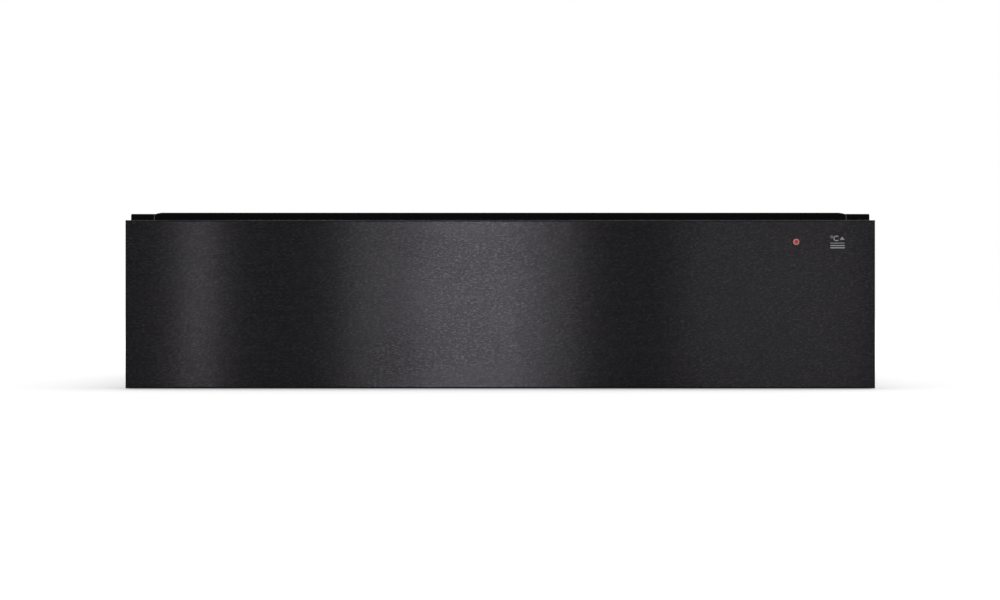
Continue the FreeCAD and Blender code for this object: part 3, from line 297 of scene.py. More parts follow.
# The same sheet, ground along Y on the drawer's sides.
GROUND_SIDE = replace(
    GROUND_STAINLESS,
    name="ground_stainless_steel_side",
    grains=(
        Grain((0.6, 34.0, 0.6), "#9B9996", share=0.75, gloss=0.08, relief=0.003),
        Grain(90.0, "#BFBDBA", share=0.5, gloss=0.05),
    ),
)
# Rolled steel profile with bright zinc plating: cloudy, a little blue, with long rolling marks.
ZINC_PLATED = Finish(
    "zinc_plated_rolled_steel",
    "#B4B9BE",
    0.27,
    metallic=1.0,
    grains=(
        Grain((7.0, 26.0, 7.0), "#A0A39C", share=0.7, gloss=0.1),
        Grain((0.7, 40.0, 0.7), "#CBD0D6", share=0.4, gloss=0.04, relief=0.003),
    ),
)
# Screws and rivets, barrel plated in zinc: brighter than the sheet round them, with handling marks.
PLATED_SCREW = Finish(
    "zinc_plated_screw",
    "#C3C7CB",
    0.24,
    metallic=1.0,
    grains=(Grain(1.4, "#9B9F9D", share=0.6, gloss=0.12),),
)
# Screws with a black oxide finish: dull, with a trace of oil.
BLACK_SCREW = Finish(
    "black_oxide_screw",
    "#19191B",
    0.4,
    metallic=1.0,
    grains=(Grain(1.2, "#2B2B2E", share=0.7, gloss=0.15),),
)
# Bare steel at a cut edge of coated sheet: a thin grey line.
CUT_STEEL = Finish(
    "sheared_steel_edge",
    "#4A4A4C",
    0.45,
    metallic=1.0,
    grains=(Grain((0.3, 0.3, 1.6), "#2C2C2E", share=0.7, gloss=0.2),),
)
# Pressed particle board: chips of 2 to 4 mm in two browns.
PARTICLE_BOARD = Finish(
    "pressed_particle_board",
    "#A98A5E",
    0.8,
    grains=(
        Grain((4.0, 2.0, 3.0), "#7C6140", Figure.CELLS, share=0.8, relief=0.1),
        Grain(0.8, "#C7AC80", share=0.4, relief=0.05),
    ),
)
# Moulded EPDM rubber: matt, with the bloom that makes it greyish.
RUBBER = Finish(
    "moulded_epdm_rubber",
    "#17171A",
    0.78,
    grains=(
        Grain(4.0, "#26262A", share=0.6, gloss=0.1),
        Grain(0.5, relief=0.02),
    ),
)
# Anthracite silicone mat, pressed in an etched mould: soft and matt with a fine grain of 0.7 mm.
SILICONE = Finish(
    "pressed_silicone_rubber",
    "#2B2C2F",
    0.62,
    grains=(
        Grain(0.7, "#34353A", share=0.5, gloss=0.1, relief=0.03),
        Grain(45.0, "#3A3B40", share=0.5, gloss=0.08),
    ),
)
# ABS moulded in a spark-eroded mould: an even grain, 0.1 mm in life and drawn 0.5 mm wide.
GRAINED_ABS = Finish(
    "spark_grained_black_abs",
    "#161618",
    0.46,
    grains=(
        Grain(0.5, "#1E1E21", share=0.6, gloss=0.12, relief=0.02),
        Grain(30.0, "#1B1B1E", share=0.6, gloss=0.04),
    ),
)
# Knob of polyamide, moulded in a finer mould: satin, with wear from fingers in patches.
SATIN_POLYAMIDE = Finish(
    "satin_black_polyamide",
    "#131315",
    0.33,
    grains=(
        Grain(0.4, "#1A1A1D", gloss=0.08, relief=0.008),
        Grain(9.0, "#1C1C1F", share=0.7, gloss=-0.08),
    ),
)
# Rocker of polished polycarbonate: deep gloss, with faint haze.
POLISHED_PC = Finish(
    "polished_black_polycarbonate",
    "#0D0D0F",
    0.13,
    grains=(Grain(5.0, "#151518", gloss=0.07),),
    shine=(("Coat Weight", 0.4), ("Coat Roughness", 0.06)),
)
# Red polycarbonate of the lamp's cap, lit from behind: saturated, brighter in its cloudy middle.
RED_PC = Finish(
    "moulded_red_polycarbonate",
    "#A32A1E",
    0.3,
    grains=(Grain(0.6, "#B4382A", gloss=0.1),),
    shine=(("IOR", 1.58), ("Specular IOR Level", 0.25)),
    glow=0.1,
)
# Frosted clear collar round it: its pale pink tint and its glow are painted red light from the lamp, since
# the collar is no lamp itself.
FROSTED_PC_PAINTED_RED_GLOW = Finish(
    "frosted_polycarbonate_with_painted_red_glow",
    "#CC908A",
    0.42,
    grains=(Grain(0.7, "#D8A49E", gloss=0.1),),
    shine=(("IOR", 1.58),),
    # Painted glow: the lamp's red light shown as the collar's own emission.
    glow=0.16,
)
# Screen printing ink, light grey: flat, a little uneven at its edges.
PRINT_INK = Finish(
    "screen_printed_grey_ink",
    "#959597",
    0.6,
    grains=(Grain(0.5, "#848487", share=0.6, gloss=0.1),),
)
# Natural polyamide: off-white and slightly waxy.
WHITE_POLYAMIDE = Finish(
    "moulded_natural_polyamide",
    "#CFCBC0",
    0.42,
    grains=(
        Grain(3.0, "#C2BDAF", share=0.6, gloss=0.08),
        Grain(0.4, relief=0.008),
    ),
)
# Glass fibre board under green solder resist: copper tracks 1.2 mm wide lighten it in rows.
SOLDER_RESIST = Finish(
    "solder_resist_on_fibre_board",
    "#1E4D2E",
    0.3,
    grains=(
        Grain((9.0, 60.0, 9.0), "#2C6B40", Figure.LINES, share=0.9, low=0.45, high=0.55, detail=0.0),
        Grain(0.8, "#245637", share=0.4, gloss=0.08, relief=0.01),
    ),
)
# Rolled aluminium sheet of the impeller: soft grey shine with rolling lines along the blades.
ROLLED_ALUMINIUM = Finish(
    "rolled_aluminium_sheet",
    "#BDBFC2",
    0.34,
    metallic=1.0,
    grains=(
        Grain((30.0, 0.5, 0.5), "#A6A8AB", share=0.6, gloss=0.08, relief=0.003),
        Grain(12.0, "#CCCED0", share=0.5),
    ),
)
# Stack of electrical steel sheets, each 0.5 mm, varnished: dark edges with fine parting lines.
LAMINATED_IRON = Finish(
    "varnished_steel_laminations",
    "#55585E",
    0.44,
    metallic=1.0,
    grains=(
        Grain((3.2, 1e6, 1e6), "#26272B", Figure.LINES, share=0.85, relief=0.05, detail=0.0),
        Grain(4.0, "#6A5C50", share=0.4, gloss=0.15),
    ),
)
# Enamelled copper wire: reddish brown gloss.
ENAMELLED_COPPER = Finish(
    "enamelled_copper_wire",
    "#8E4527",
    0.26,
    metallic=1.0,
    grains=(Grain(2.5, "#B0643A", share=0.6, gloss=0.1),),
)
# Sheath of the heating tubes, heat-tinted stainless steel: straw to blue clouds along the tube.
HEAT_TINTED_STEEL = Finish(
    "heat_tinted_stainless_tube",
    "#6B5A4B",
    0.38,
    metallic=1.0,
    grains=(
        Grain((22.0, 8.0, 8.0), "#4A5068", share=0.8, gloss=0.1),
        Grain(1.0, "#7F6C59", share=0.4, relief=0.005),
    ),
)
# Pressed steatite: chalky off-white with dark specks.
STEATITE = Finish(
    "pressed_steatite_ceramic",
    "#D2CCBD",
    0.55,
    grains=(
        Grain(1.5, "#C3BCAA", share=0.7, relief=0.02),
        Grain(1.2, "#8F8778", Figure.CELLS, share=0.6, low=0.92, high=0.98),
    ),
)


# Surfaces


@dataclass(frozen=True)
class Shell:
    """Points in metres, with the quads and triangles between them."""

    points: Array
    quads: Array
    triangles: Array

    def corners(self) -> Array:
        """All faces as triangles, by point number."""
        halves = self.quads[:, [0, 1, 2, 0, 2, 3]].reshape(-1, 3)
        return np.concatenate([halves, self.triangles])

    def outward(self) -> "Shell":
        """Turns the faces outwards: a closed shell's volume, summed face by face, is then positive."""
        a, b, c = (self.points[self.corners()[:, i]] for i in range(3))
        if np.einsum("ij,ij->", a, np.cross(b, c)) >= 0.0:
            return self
        return Shell(self.points, self.quads[:, ::-1], self.triangles[:, ::-1])

    def at(self, spots: Sequence[Vector3] | Array, facing: Vector3 = UP, turn: float = 0.0) -> "Shell":
        """Copies the shell to each spot, its own Z axis turned to face a direction.

        Args:
            spots: Places in millimetres.
            facing: Where the shell's Z axis points.
            turn: Turn about that axis, in radians.

        Returns:
            One shell with a copy at every spot.
        """
        rise = np.array(facing) / np.linalg.norm(facing)
        helper = np.array(RIGHT if abs(rise[0]) < 0.9 else BACK)
        side = np.cross(np.cross(rise, helper), rise)
        side /= np.linalg.norm(side)
        other = np.cross(rise, side)
        first = side * math.cos(turn) + other * math.sin(turn)
        second = np.cross(rise, first)
        turned_points = self.points @ np.stack([first, second, rise])
        places = np.asarray(spots, dtype=float).reshape(-1, 3) * MM
        points = (places[:, None, :] + turned_points[None]).reshape(-1, 3)
        step = (np.arange(len(places)) * len(self.points))[:, None, None]
        quads = (self.quads[None] + step).reshape(-1, 4)
        return Shell(points, quads, (self.triangles[None] + step).reshape(-1, 3))


def gathered(shells: Sequence[Shell]) -> Shell:
    """Puts several shells into one.

    Args:
        shells: The shells.

    Returns:
        One shell, with the points numbered through.
    """
    starts = np.cumsum([0] + [len(shell.points) for shell in shells[:-1]])
    return Shell(
        np.concatenate([shell.points for shell in shells]),
        np.concatenate([shell.quads + start for shell, start in zip(shells, starts)]),
        np.concatenate([shell.triangles + start for shell, start in zip(shells, starts)]),
    )


def skin(rings: Array, loop: bool = False) -> Shell:
    """Closed surface over closed rings of points; each ring is joined to the next.

    Point (i, j) of the grid has neighbours (i + 1, j) and (i, j + 1), the latter round the ring.
    The two end rings are closed with a fan to their mean point, or joined to each other.

    Args:
        rings: Points in millimetres, as rings x points x 3.
        loop: Join the last ring to the first.

    Returns:
        The shell, facing outwards.
    """
    rows, columns, _ = rings.shape
    total = rows * columns
    i, j = np.meshgrid(np.arange(rows if loop else rows - 1), np.arange(columns), indexing="ij")
    after = (j + 1) % columns
    below = i * columns
    above = below + columns
    quads = np.stack([below + j, below + after, above + after, above + j], axis=-1).reshape(-1, 4) % total
    points = rings.reshape(-1, 3)
    triangles = np.empty((0, 3), dtype=int)
    if not loop:
        points = np.concatenate([points, rings[[0, -1]].mean(axis=1)])
        here = np.arange(columns)
        beside = (here + 1) % columns
        first = np.stack([beside, here, np.full(columns, total)], axis=1)
        last = np.stack([here, beside, np.full(columns, total + 1)], axis=1)
        last[:, :2] += total - columns
        triangles = np.concatenate([first, last])
    return Shell(points * MM, quads, triangles).outward()


def turned(profile: Sequence[Row], count: int, loop: bool = False) -> Shell:
    """Turned piece about its Z axis: each profile point becomes a ring of its radius and height.

    A third number makes the ring six-lobed: radius times (1 + lobe x cos 6 angle).

    Args:
        profile: Radius, height and if wanted lobe depth, in millimetres, from bottom to top.
        count: Points round each ring.
        loop: The profile is a closed loop, as of a washer.

    Returns:
        The shell.
    """
    rows = np.array([(*row, 0.0)[:3] for row in profile])
    angle = np.linspace(0.0, 2.0 * math.pi, count, endpoint=False)
    radius = rows[:, :1] * (1.0 + rows[:, 2:] * np.cos(6.0 * angle))
    height = np.broadcast_to(rows[:, 1:2], radius.shape)
    return skin(np.stack([radius * np.cos(angle), radius * np.sin(angle), height], axis=-1), loop)


def carried(path: Array, profile: Array, up: Vector3, loop: bool = False) -> Shell:
    """Carries a closed profile along a path.

    At each path point the profile lies in the plane of two directions: the side, square to the
    path and to up, and the rise, square to the path and to the side.

    Args:
        path: Points in millimetres.
        profile: Offsets to the side and along the rise, in millimetres.
        up: Direction that fixes the profile's stand.
        loop: The path is closed.

    Returns:
        The shell.
    """
    ahead = (np.roll(path, -1, axis=0) - np.roll(path, 1, axis=0)) if loop else np.gradient(path, axis=0)
    ahead = ahead / np.linalg.norm(ahead, axis=1, keepdims=True)
    side = np.cross(ahead, up)
    side /= np.linalg.norm(side, axis=1, keepdims=True)
    rise = np.cross(side, ahead)
    reach = profile[None, :, :1] * side[:, None] + profile[None, :, 1:] * rise[:, None]
    return skin(path[:, None] + reach, loop)


def rounded(width: float, height: float, radius: float, steps: int = 6) -> Array:
    """Outline of a rectangle with round corners: four quarter circles, joined by straight edges.

    Args:
        width: Along the first direction, in millimetres.
        height: Along the second.
        radius: Of the corners.
        steps: Points on each corner.

    Returns:
        Points x 2, centred on the origin.
    """
    angle = np.linspace(0.0, math.pi / 2, steps) + np.arange(4)[:, None] * math.pi / 2
    across = np.array([1, -1, -1, 1])[:, None] * (width / 2 - radius)
    along = np.array([1, 1, -1, -1])[:, None] * (height / 2 - radius)
    return np.stack([across + radius * np.cos(angle), along + radius * np.sin(angle)], axis=-1).reshape(-1, 2)


def slab(outline: Array, thickness: float, edge: float = 0.0) -> Shell:
    """Plate of a convex outline, from Z = 0 up, with its upper edge drawn in.

    Args:
        outline: Points x 2, in millimetres.
        thickness: Of the plate.
        edge: How far the top is drawn in, as a share of the outline.

    Returns:
        The shell.
    """
    levels = [(1.0, 0.0), (1.0, thickness)]
    if edge:
        levels = [(1.0, 0.0), (1.0, 0.6 * thickness), (1.0 - edge, thickness)]
    rings = [np.column_stack([outline * share, np.full(len(outline), level)]) for share, level in levels]
    return skin(np.stack(rings))


def placed(name: str, data: bpy.types.ID) -> bpy.types.Object:
    """Makes an object of a mesh, curve, lamp or camera and puts it into the scene."""
    made = bpy.data.objects.new(name, data)
    bpy.context.collection.objects.link(made)
    return made


def lettering(text: str, height: float, thickness: float, bolder: float = 0.0) -> Shell:
    """Plain sans letters or numbers, centred on the origin and standing on Z = 0.

    Args:
        text: What is written.
        height: Of a capital or a number, in millimetres.
        thickness: Of the print.
        bolder: How far each outline is moved out.

    Returns:
        The shell, with the font's doubled points merged.
    """
    curve = bpy.data.curves.new("lettering", "FONT")
    curve.body = text
    curve.size = height / 0.69
    curve.extrude = thickness / 2
    curve.offset = bolder
    curve.align_x = "CENTER"
    curve.resolution_u = 4
    holder = placed("lettering", curve)
    bpy.context.view_layer.update()
    mesh = bpy.data.meshes.new_from_object(holder.evaluated_get(bpy.context.evaluated_depsgraph_get()))
    mesh.calc_loop_triangles()
    points = np.empty(len(mesh.vertices) * 3)
    mesh.vertices.foreach_get("co", points)
    points = points.reshape(-1, 3)
    triangles = np.empty(len(mesh.loop_triangles) * 3, dtype=np.int32)
    mesh.loop_triangles.foreach_get("vertices", triangles)
    bpy.data.objects.remove(holder)
    bpy.data.curves.remove(curve)
    bpy.data.meshes.remove(mesh)
    points -= (0.0, (points[:, 1].min() + points[:, 1].max()) / 2, points[:, 2].min())
    merged, places = np.unique(points.round(5), axis=0, return_inverse=True)
    faces = places.reshape(-1)[triangles.reshape(-1, 3)]
    spans = np.sort(faces, axis=1)
    whole = (spans[:, 0] != spans[:, 1]) & (spans[:, 1] != spans[:, 2])
    return Shell(merged * MM, np.empty((0, 4), dtype=int), faces[whole]).outward()


def add_piece(
    name: str, shell: Shell, finish: Finish, body: str, smooth: float = 32.0
) -> bpy.types.Object:
    """Makes a Blender object of a shell, dresses it and lets it ride on a body.

    Args:
        name: The piece's name.
        shell: Its surface.
        finish: Its material.
        body: The CAD body that it moves with.
        smooth: Edges flatter than this many degrees are shaded round.

    Returns:
        The object, at the origin.
    """
    mesh = bpy.data.meshes.new(name)
    sizes = np.concatenate([np.full(len(shell.quads), 4), np.full(len(shell.triangles), 3)])
    corners = np.concatenate([shell.quads.ravel(), shell.triangles.ravel()])
    mesh.vertices.add(len(shell.points))
    mesh.vertices.foreach_set("co", shell.points.ravel().astype(np.float32))
    mesh.loops.add(len(corners))
    mesh.loops.foreach_set("vertex_index", corners.astype(np.int32))
    mesh.polygons.add(len(sizes))
    mesh.polygons.foreach_set("loop_start", (np.cumsum(sizes) - sizes).astype(np.int32))
    mesh.update(calc_edges=True)
    mesh.validate()
    mesh.shade_smooth()
    mesh.set_sharp_from_angle(angle=math.radians(smooth))
    mesh.materials.append(finish.material())
    piece = placed(name, mesh)
    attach(piece, body)
    log.info("%s: %d faces, on %s, %s", name, len(mesh.polygons), body, finish.name)
    return piece


def screw_head(radius: float, height: float) -> Shell:
    """Pan head with a six-lobed recess: a rounded rim, then a socket that goes down into it."""
    socket = 0.42 * radius
    profile = [
        (radius, 0.0),
        (radius, 0.4 * height),
        (0.9 * radius, 0.8 * height),
        (0.66 * radius, height),
        (socket, height, 0.16),
        (0.94 * socket, 0.35 * height, 0.16),
    ]
    return turned(profile, 24)


def rivet_head(radius: float, height: float) -> Shell:
    """Domed rivet: the height follows a flat arc from the rim to the crown."""
    angle = np.linspace(0.0, math.radians(78.0), 6)
    return turned(list(zip(radius * np.cos(angle), height * np.sin(angle))), 20)


def weld_spot(radius: float) -> Shell:
    """Spot weld: a low ring where the electrode pressed the sheet, hollow in its middle."""
    return turned([(radius, 0.0), (0.84 * radius, 0.16), (0.62 * radius, 0.05), (0.2 * radius, 0.04)], 16)


def washer(outer: float, inner: float, thickness: float, count: int = 32) -> Shell:
    """Flat ring on Z = 0 with broken upper edges."""
    edge = min(0.25 * thickness, 0.3)
    profile = [
        (inner, 0.0),
        (outer, 0.0),
        (outer, thickness - edge),
        (outer - edge, thickness),
        (inner + edge, thickness),
        (inner, thickness - edge),
    ]
    return turned(profile, count, loop=True)


# Sub-assemblies


def grid(x: float | Array, y: float | Array, z: float | Array) -> Array:
    """Every place that has one of the given x, y and z, in millimetres."""
    return np.stack(np.meshgrid(x, y, z, indexing="ij"), axis=-1).reshape(-1, 3)


def on_both_sides(head: Shell, places: Places) -> list[Shell]:
    """Heads on the left and the right web, facing inwards; the places' x is how far out they lie."""
    x, y, z = places
    return [head.at(grid(side * x, y, z), inwards) for side, inwards in INWARD.items()]


def add_fasteners(name: str, body: str, *shells: Shell, finish: Finish = PLATED_SCREW) -> None:
    """Adds screws, rivets or pins on one body as one piece, zinc plated unless told otherwise."""
    add_piece(name, gathered(shells), finish, body)


class SubAssembly(ABC):
    """Part of the appliance: pieces that the CAD model leaves out, and finishes of its CAD nodes."""

    finishes: ClassVar[dict[Finish, tuple[str, ...]]]

    @abstractmethod
    def build(self) -> None:
        """Adds the pieces."""

    def dress(self) -> None:
        """Gives each CAD node its material."""
        for finish, names in self.finishes.items():
            for name in names:
                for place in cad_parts[name].material_slots:
                    place.material = finish.material()
                log.info("%s: %s", name, finish.name)


@dataclass
class Carcass(SubAssembly):
    """Coated and galvanised sheet housing, fixed in the kitchen unit. Sizes in millimetres."""

    finishes: ClassVar = {
        BLACK_COAT_AND_PAINTED_SHADE: ("side_panel_left", "side_panel_right", "top_panel", "front_rail"),
        GALVANISED: ("base_panel", "back_panel"),
    }
    half_width: float = 276.0
    runner_z: float = 62.0
    rivet_rows: Row = (-222.0, -40.0, 196.0)
    weld_rows: tuple[float, float, int] = (-236.0, 252.0, 9)
    weld_levels: Row = (5.2, 134.5)
    cut_edge: Vector3 = (277.8, -262.45, 137.0)
    side_screws: Places = ((-269.0, 269.0), 275.0, (22.0, 70.0, 118.0))
    top_screws: Places = ((-190.0, -64.0, 64.0, 190.0), 275.0, 131.0)

    def build(self) -> None:
        """Adds rivets, screws, weld spots and the bare cut edges beside the top strip."""
        rivets = []
        welds = []
        edges = []
        x, y, z = self.cut_edge
        blade = slab(rounded(0.75, 5.6, 0.2, 3), 0.25)
        rows = np.linspace(*self.weld_rows)
        for side, out in OUTWARD.items():
            wall = side * self.half_width
            rivets.append(rivet_head(4.4, 1.4).at(grid(wall, self.rivet_rows, self.runner_z), out))
            welds.append(weld_spot(2.4).at(grid(wall, rows, self.weld_levels), out))
            edges.append(blade.at([(side * x, y, z)], FRONT))
        add_fasteners("runner_rivets", "carcass", *rivets, finish=BLACK_SCREW)
        add_piece("side_weld_spots", gathered(welds), BLACK_COAT_AND_PAINTED_SHADE, "carcass")
        add_piece("cut_sheet_edges", gathered(edges), CUT_STEEL, "carcass")
        places = np.concatenate([grid(*self.side_screws), grid(*self.top_screws)])
        add_fasteners("back_screws", "carcass", screw_head(3.9, 2.2).at(places, BACK))


@dataclass
class BackFittings(SubAssembly):
    """Push-to-open ejector, connection box and cable gland at the back. Sizes in millimetres."""

    finishes: ClassVar = {
        GRAINED_ABS: ("terminal_box", "terminal_cover", "cable_bush", "latch_housing"),
        WHITE_POLYAMIDE: ("terminal_block", "latch_plunger"),
        ZINC_PLATED: ("latch_spring",),
    }
    foot_screws: Places = ((-19.0, 19.0), 271.0, 62.0)
    spring_turns: float = 5.5
    spring_radius: float = 3.6
    spring_wire: float = 0.45
    spring_span: Pair = (257.3, 270.6)
    spring_z: float = 62.0
    plunger_stroke: float = 3.0
    gland: Vector3 = (-215.0, 283.55, 45.0)
    cover_screws: Places = ((-244.0, -186.0), 243.0, (25.0, 65.0))
    clamp_screws: Places = ((-217.0, -205.0, -193.0), 261.8, 60.0)

    def build(self) -> None:
        """Adds the ejector's screws and spring, the gland's sealing ring and the box's screws."""
        add_fasteners("ejector_screws", "carcass", screw_head(2.9, 1.8).at(grid(*self.foot_screws), FRONT))
        spring = add_piece("ejector_spring", self.spring(), PLATED_SCREW, "carcass")
        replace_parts(spring, "latch_spring")
        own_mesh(spring)
        ring = washer(7.4, 4.3, 1.4, 40).at([self.gland], BACK)
        add_piece("gland_sealing_ring", ring, RUBBER, "carcass")
        heads = screw_head(2.6, 1.6).at(grid(*self.cover_screws), FRONT)
        add_fasteners("connection_cover_screws", "carcass", heads)
        add_fasteners("terminal_screws", "carcass", screw_head(2.4, 1.2).at(grid(*self.clamp_screws), FRONT))

    def spring(self) -> Shell:
        """Coil spring: a round wire along a helix, x and z turning while y grows evenly."""
        start, end = self.spring_span
        share = np.linspace(0.0, 1.0, int(self.spring_turns * 20) + 1)
        angle = 2.0 * math.pi * self.spring_turns * share
        level = start + self.spring_wire + (end - start - 2 * self.spring_wire) * share
        z = self.spring_z + self.spring_radius * np.sin(angle)
        path = np.column_stack([self.spring_radius * np.cos(angle), level, z])
        turn = np.linspace(0.0, 2.0 * math.pi, 8, endpoint=False)
        wire = self.spring_wire * np.column_stack([np.cos(turn), np.sin(turn)])
        return carried(path, wire, BACK)


@dataclass
class Runners(SubAssembly):
    """Telescopic runners with their roller cages, left and right. Sizes in millimetres."""

    finishes: ClassVar = {
        ZINC_PLATED: tuple(
            kind + end
            for kind in ("runner_outer", "runner_mid", "runner_inner", "cage_outer", "cage_inner")
            for end in ("_left", "_right")
        )
    }
    rivets: Places = (261.5, (-190.0, -30.0, 130.0), 62.0)

    def build(self) -> None:
        """Adds the rivets that hold the inner members, seen inside the drawer."""
        add_fasteners("drawer_side_rivets", "drawer", *on_both_sides(rivet_head(3.6, 1.1), self.rivets))


@dataclass
class DecorativeFront(SubAssembly):
    """Brushed black front with its pilot lamp and the printed sign. Sizes in millimetres."""

    finishes: ClassVar = {
        BRUSHED_BLACK_STEEL: ("front_panel",),
        PARTICLE_BOARD: ("front_core",),
        GALVANISED: ("front_inner_plate",),
        RUBBER: ("front_buffers",),
        ZINC_PLATED: ("front_brackets",),
        GRAINED_ABS: ("lamp_holder",),
        RED_PC: ("lamp_lens",),
    }
    face: float = -284.6
    lamp: Pair = (235.7, 117.2)
    collar: tuple[Pair, ...] = (
        (1.66, 0.26),
        (1.74, 0.36),
        (2.02, 0.36),
        (2.27, 0.08),
        (2.27, -8.4),
        (1.66, -8.4),
    )
    cap_radius: float = 1.62
    ink: float = 0.05
    sign_x: float = 268.5
    line_width: float = 11.6
    lines: tuple[Pair, ...] = ((116.2, 0.6), (114.25, 0.85), (112.5, 0.95))
    plate_screws: Places = ((-244.0, 244.0), -263.5, (36.0, 64.0))
    web_screws: Places = (259.5, (-240.0, -218.0), (36.0, 64.0))

    def build(self) -> None:
        """Adds the sign, the lamp's collar and cap, and the screws behind the front."""
        sign = self.sign().at([(0.0, self.face + 0.01, 0.0)], FRONT)
        add_piece("printed_sign", sign, PRINT_INK, "drawer", smooth=20.0)
        x, z = self.lamp
        ring = turned(self.collar, 40, loop=True).at([(x, self.face, z)], FRONT)
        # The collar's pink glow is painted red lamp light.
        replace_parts(add_piece("lamp_collar", ring, FROSTED_PC_PAINTED_RED_GLOW, "drawer"), "lamp_lens")
        angle = np.linspace(0.0, math.radians(84.0), 8)
        crown = zip(self.cap_radius * np.cos(angle), 0.32 * np.sin(angle) - 0.12)
        cap = turned([(self.cap_radius, -6.0), *crown], 32).at([(x, self.face, z)], FRONT)
        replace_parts(add_piece("lamp_cap", cap, RED_PC, "drawer"), "lamp_lens")
        plate = screw_head(4.4, 2.6).at(grid(*self.plate_screws), BACK)
        web = on_both_sides(screw_head(3.6, 2.2), self.web_screws)
        add_fasteners("bracket_screws", "drawer", plate, *web)

    def sign(self) -> Shell:
        """Degree sign, letter C and triangle over three lines.

        It is drawn as seen on the front: X as it is and Z upwards, with the print rising from 0.

        Returns:
            The shell; its own Y runs up the front.
        """
        degree = washer(1.05, 0.62, self.ink, 28).at([(263.9, 121.2, 0.0)])
        letter = lettering("C", 4.2, self.ink, 0.12).at([(267.2, 119.95, 0.0)])
        corners = np.array([(-1.9, -1.1), (1.9, -1.1), (0.0, 1.5)])
        arrow = slab(corners, self.ink).at([(272.2, 119.9, 0.0)])
        bars = [
            slab(rounded(self.line_width, height, 0.35, 3), self.ink).at([(self.sign_x, level, 0.0)])
            for level, height in self.lines
        ]
        return gathered([degree, letter, arrow, *bars])


@dataclass
class DrawerBox(SubAssembly):
    """Stainless drawer with its mat and the louvred wall. Sizes in millimetres."""

    finishes: ClassVar = {
        GROUND_STAINLESS: ("drawer_floor", "drawer_back_wall", "rear_cover", "compartment_lid"),
        GROUND_SIDE: ("drawer_side_left", "drawer_side_right"),
        SILICONE: ("anti_slip_mat",),
        ZINC_PLATED: ("strike_plate",),
    }
    mat: tuple[float, float, float, float] = (-246.0, 246.0, -219.0, 154.0)
    mat_top: float = 23.0
    nub_pitch: float = 10.5
    nub_radius: float = 2.1
    nub_height: float = 0.55
    wall_screws: Places = ((-232.0, -139.0, -46.0, 46.0, 139.0, 232.0), 165.0, 66.0)
    lid_screws: Places = ((-236.0, -118.0, 0.0, 118.0, 236.0), 222.5, 108.8)
    strike_rivets: Places = ((-9.0, 9.0), 231.0, (53.5, 70.5))
    cover_screws: Places = ((-248.0, -130.0, 130.0, 248.0), 229.0, (30.0, 98.0))

    def build(self) -> None:
        """Adds the mat's nubs, and the screws of the louvred wall, the lid and the strike plate."""
        add_piece("mat_nubs", self.nubs(), SILICONE, "drawer", smooth=60.0)
        screw = screw_head(3.3, 1.8)
        heads = [
            screw.at(grid(*self.wall_screws), FRONT),
            screw.at(grid(*self.lid_screws), UP),
            rivet_head(2.2, 0.8).at(grid(*self.strike_rivets), BACK),
            screw.at(grid(*self.cover_screws), BACK),
        ]
        add_fasteners("drawer_screws", "drawer", *heads)

    def nubs(self) -> Shell:
        """Low round nubs on the mat, in rows set half a pitch apart from each other."""
        x0, x1, y0, y1 = self.mat
        row_pitch = self.nub_pitch * math.sqrt(0.75)
        rows = int((y1 - y0) / row_pitch)
        columns = int((x1 - x0) / self.nub_pitch)
        row, column = np.meshgrid(np.arange(rows + 1), np.arange(columns), indexing="ij")
        x = (column - (columns - 1) / 2 + (row % 2) * 0.5 - 0.25) * self.nub_pitch + (x0 + x1) / 2
        y = (row - rows / 2) * row_pitch + (y0 + y1) / 2
        spots = np.stack([x, y, np.full(x.shape, self.mat_top)], axis=-1).reshape(-1, 3)
        radius, height = self.nub_radius, self.nub_height
        nub = turned([(radius, 0.0), (0.75 * radius, 0.8 * height), (0.3 * radius, height)], 10)
        return nub.at(spots)


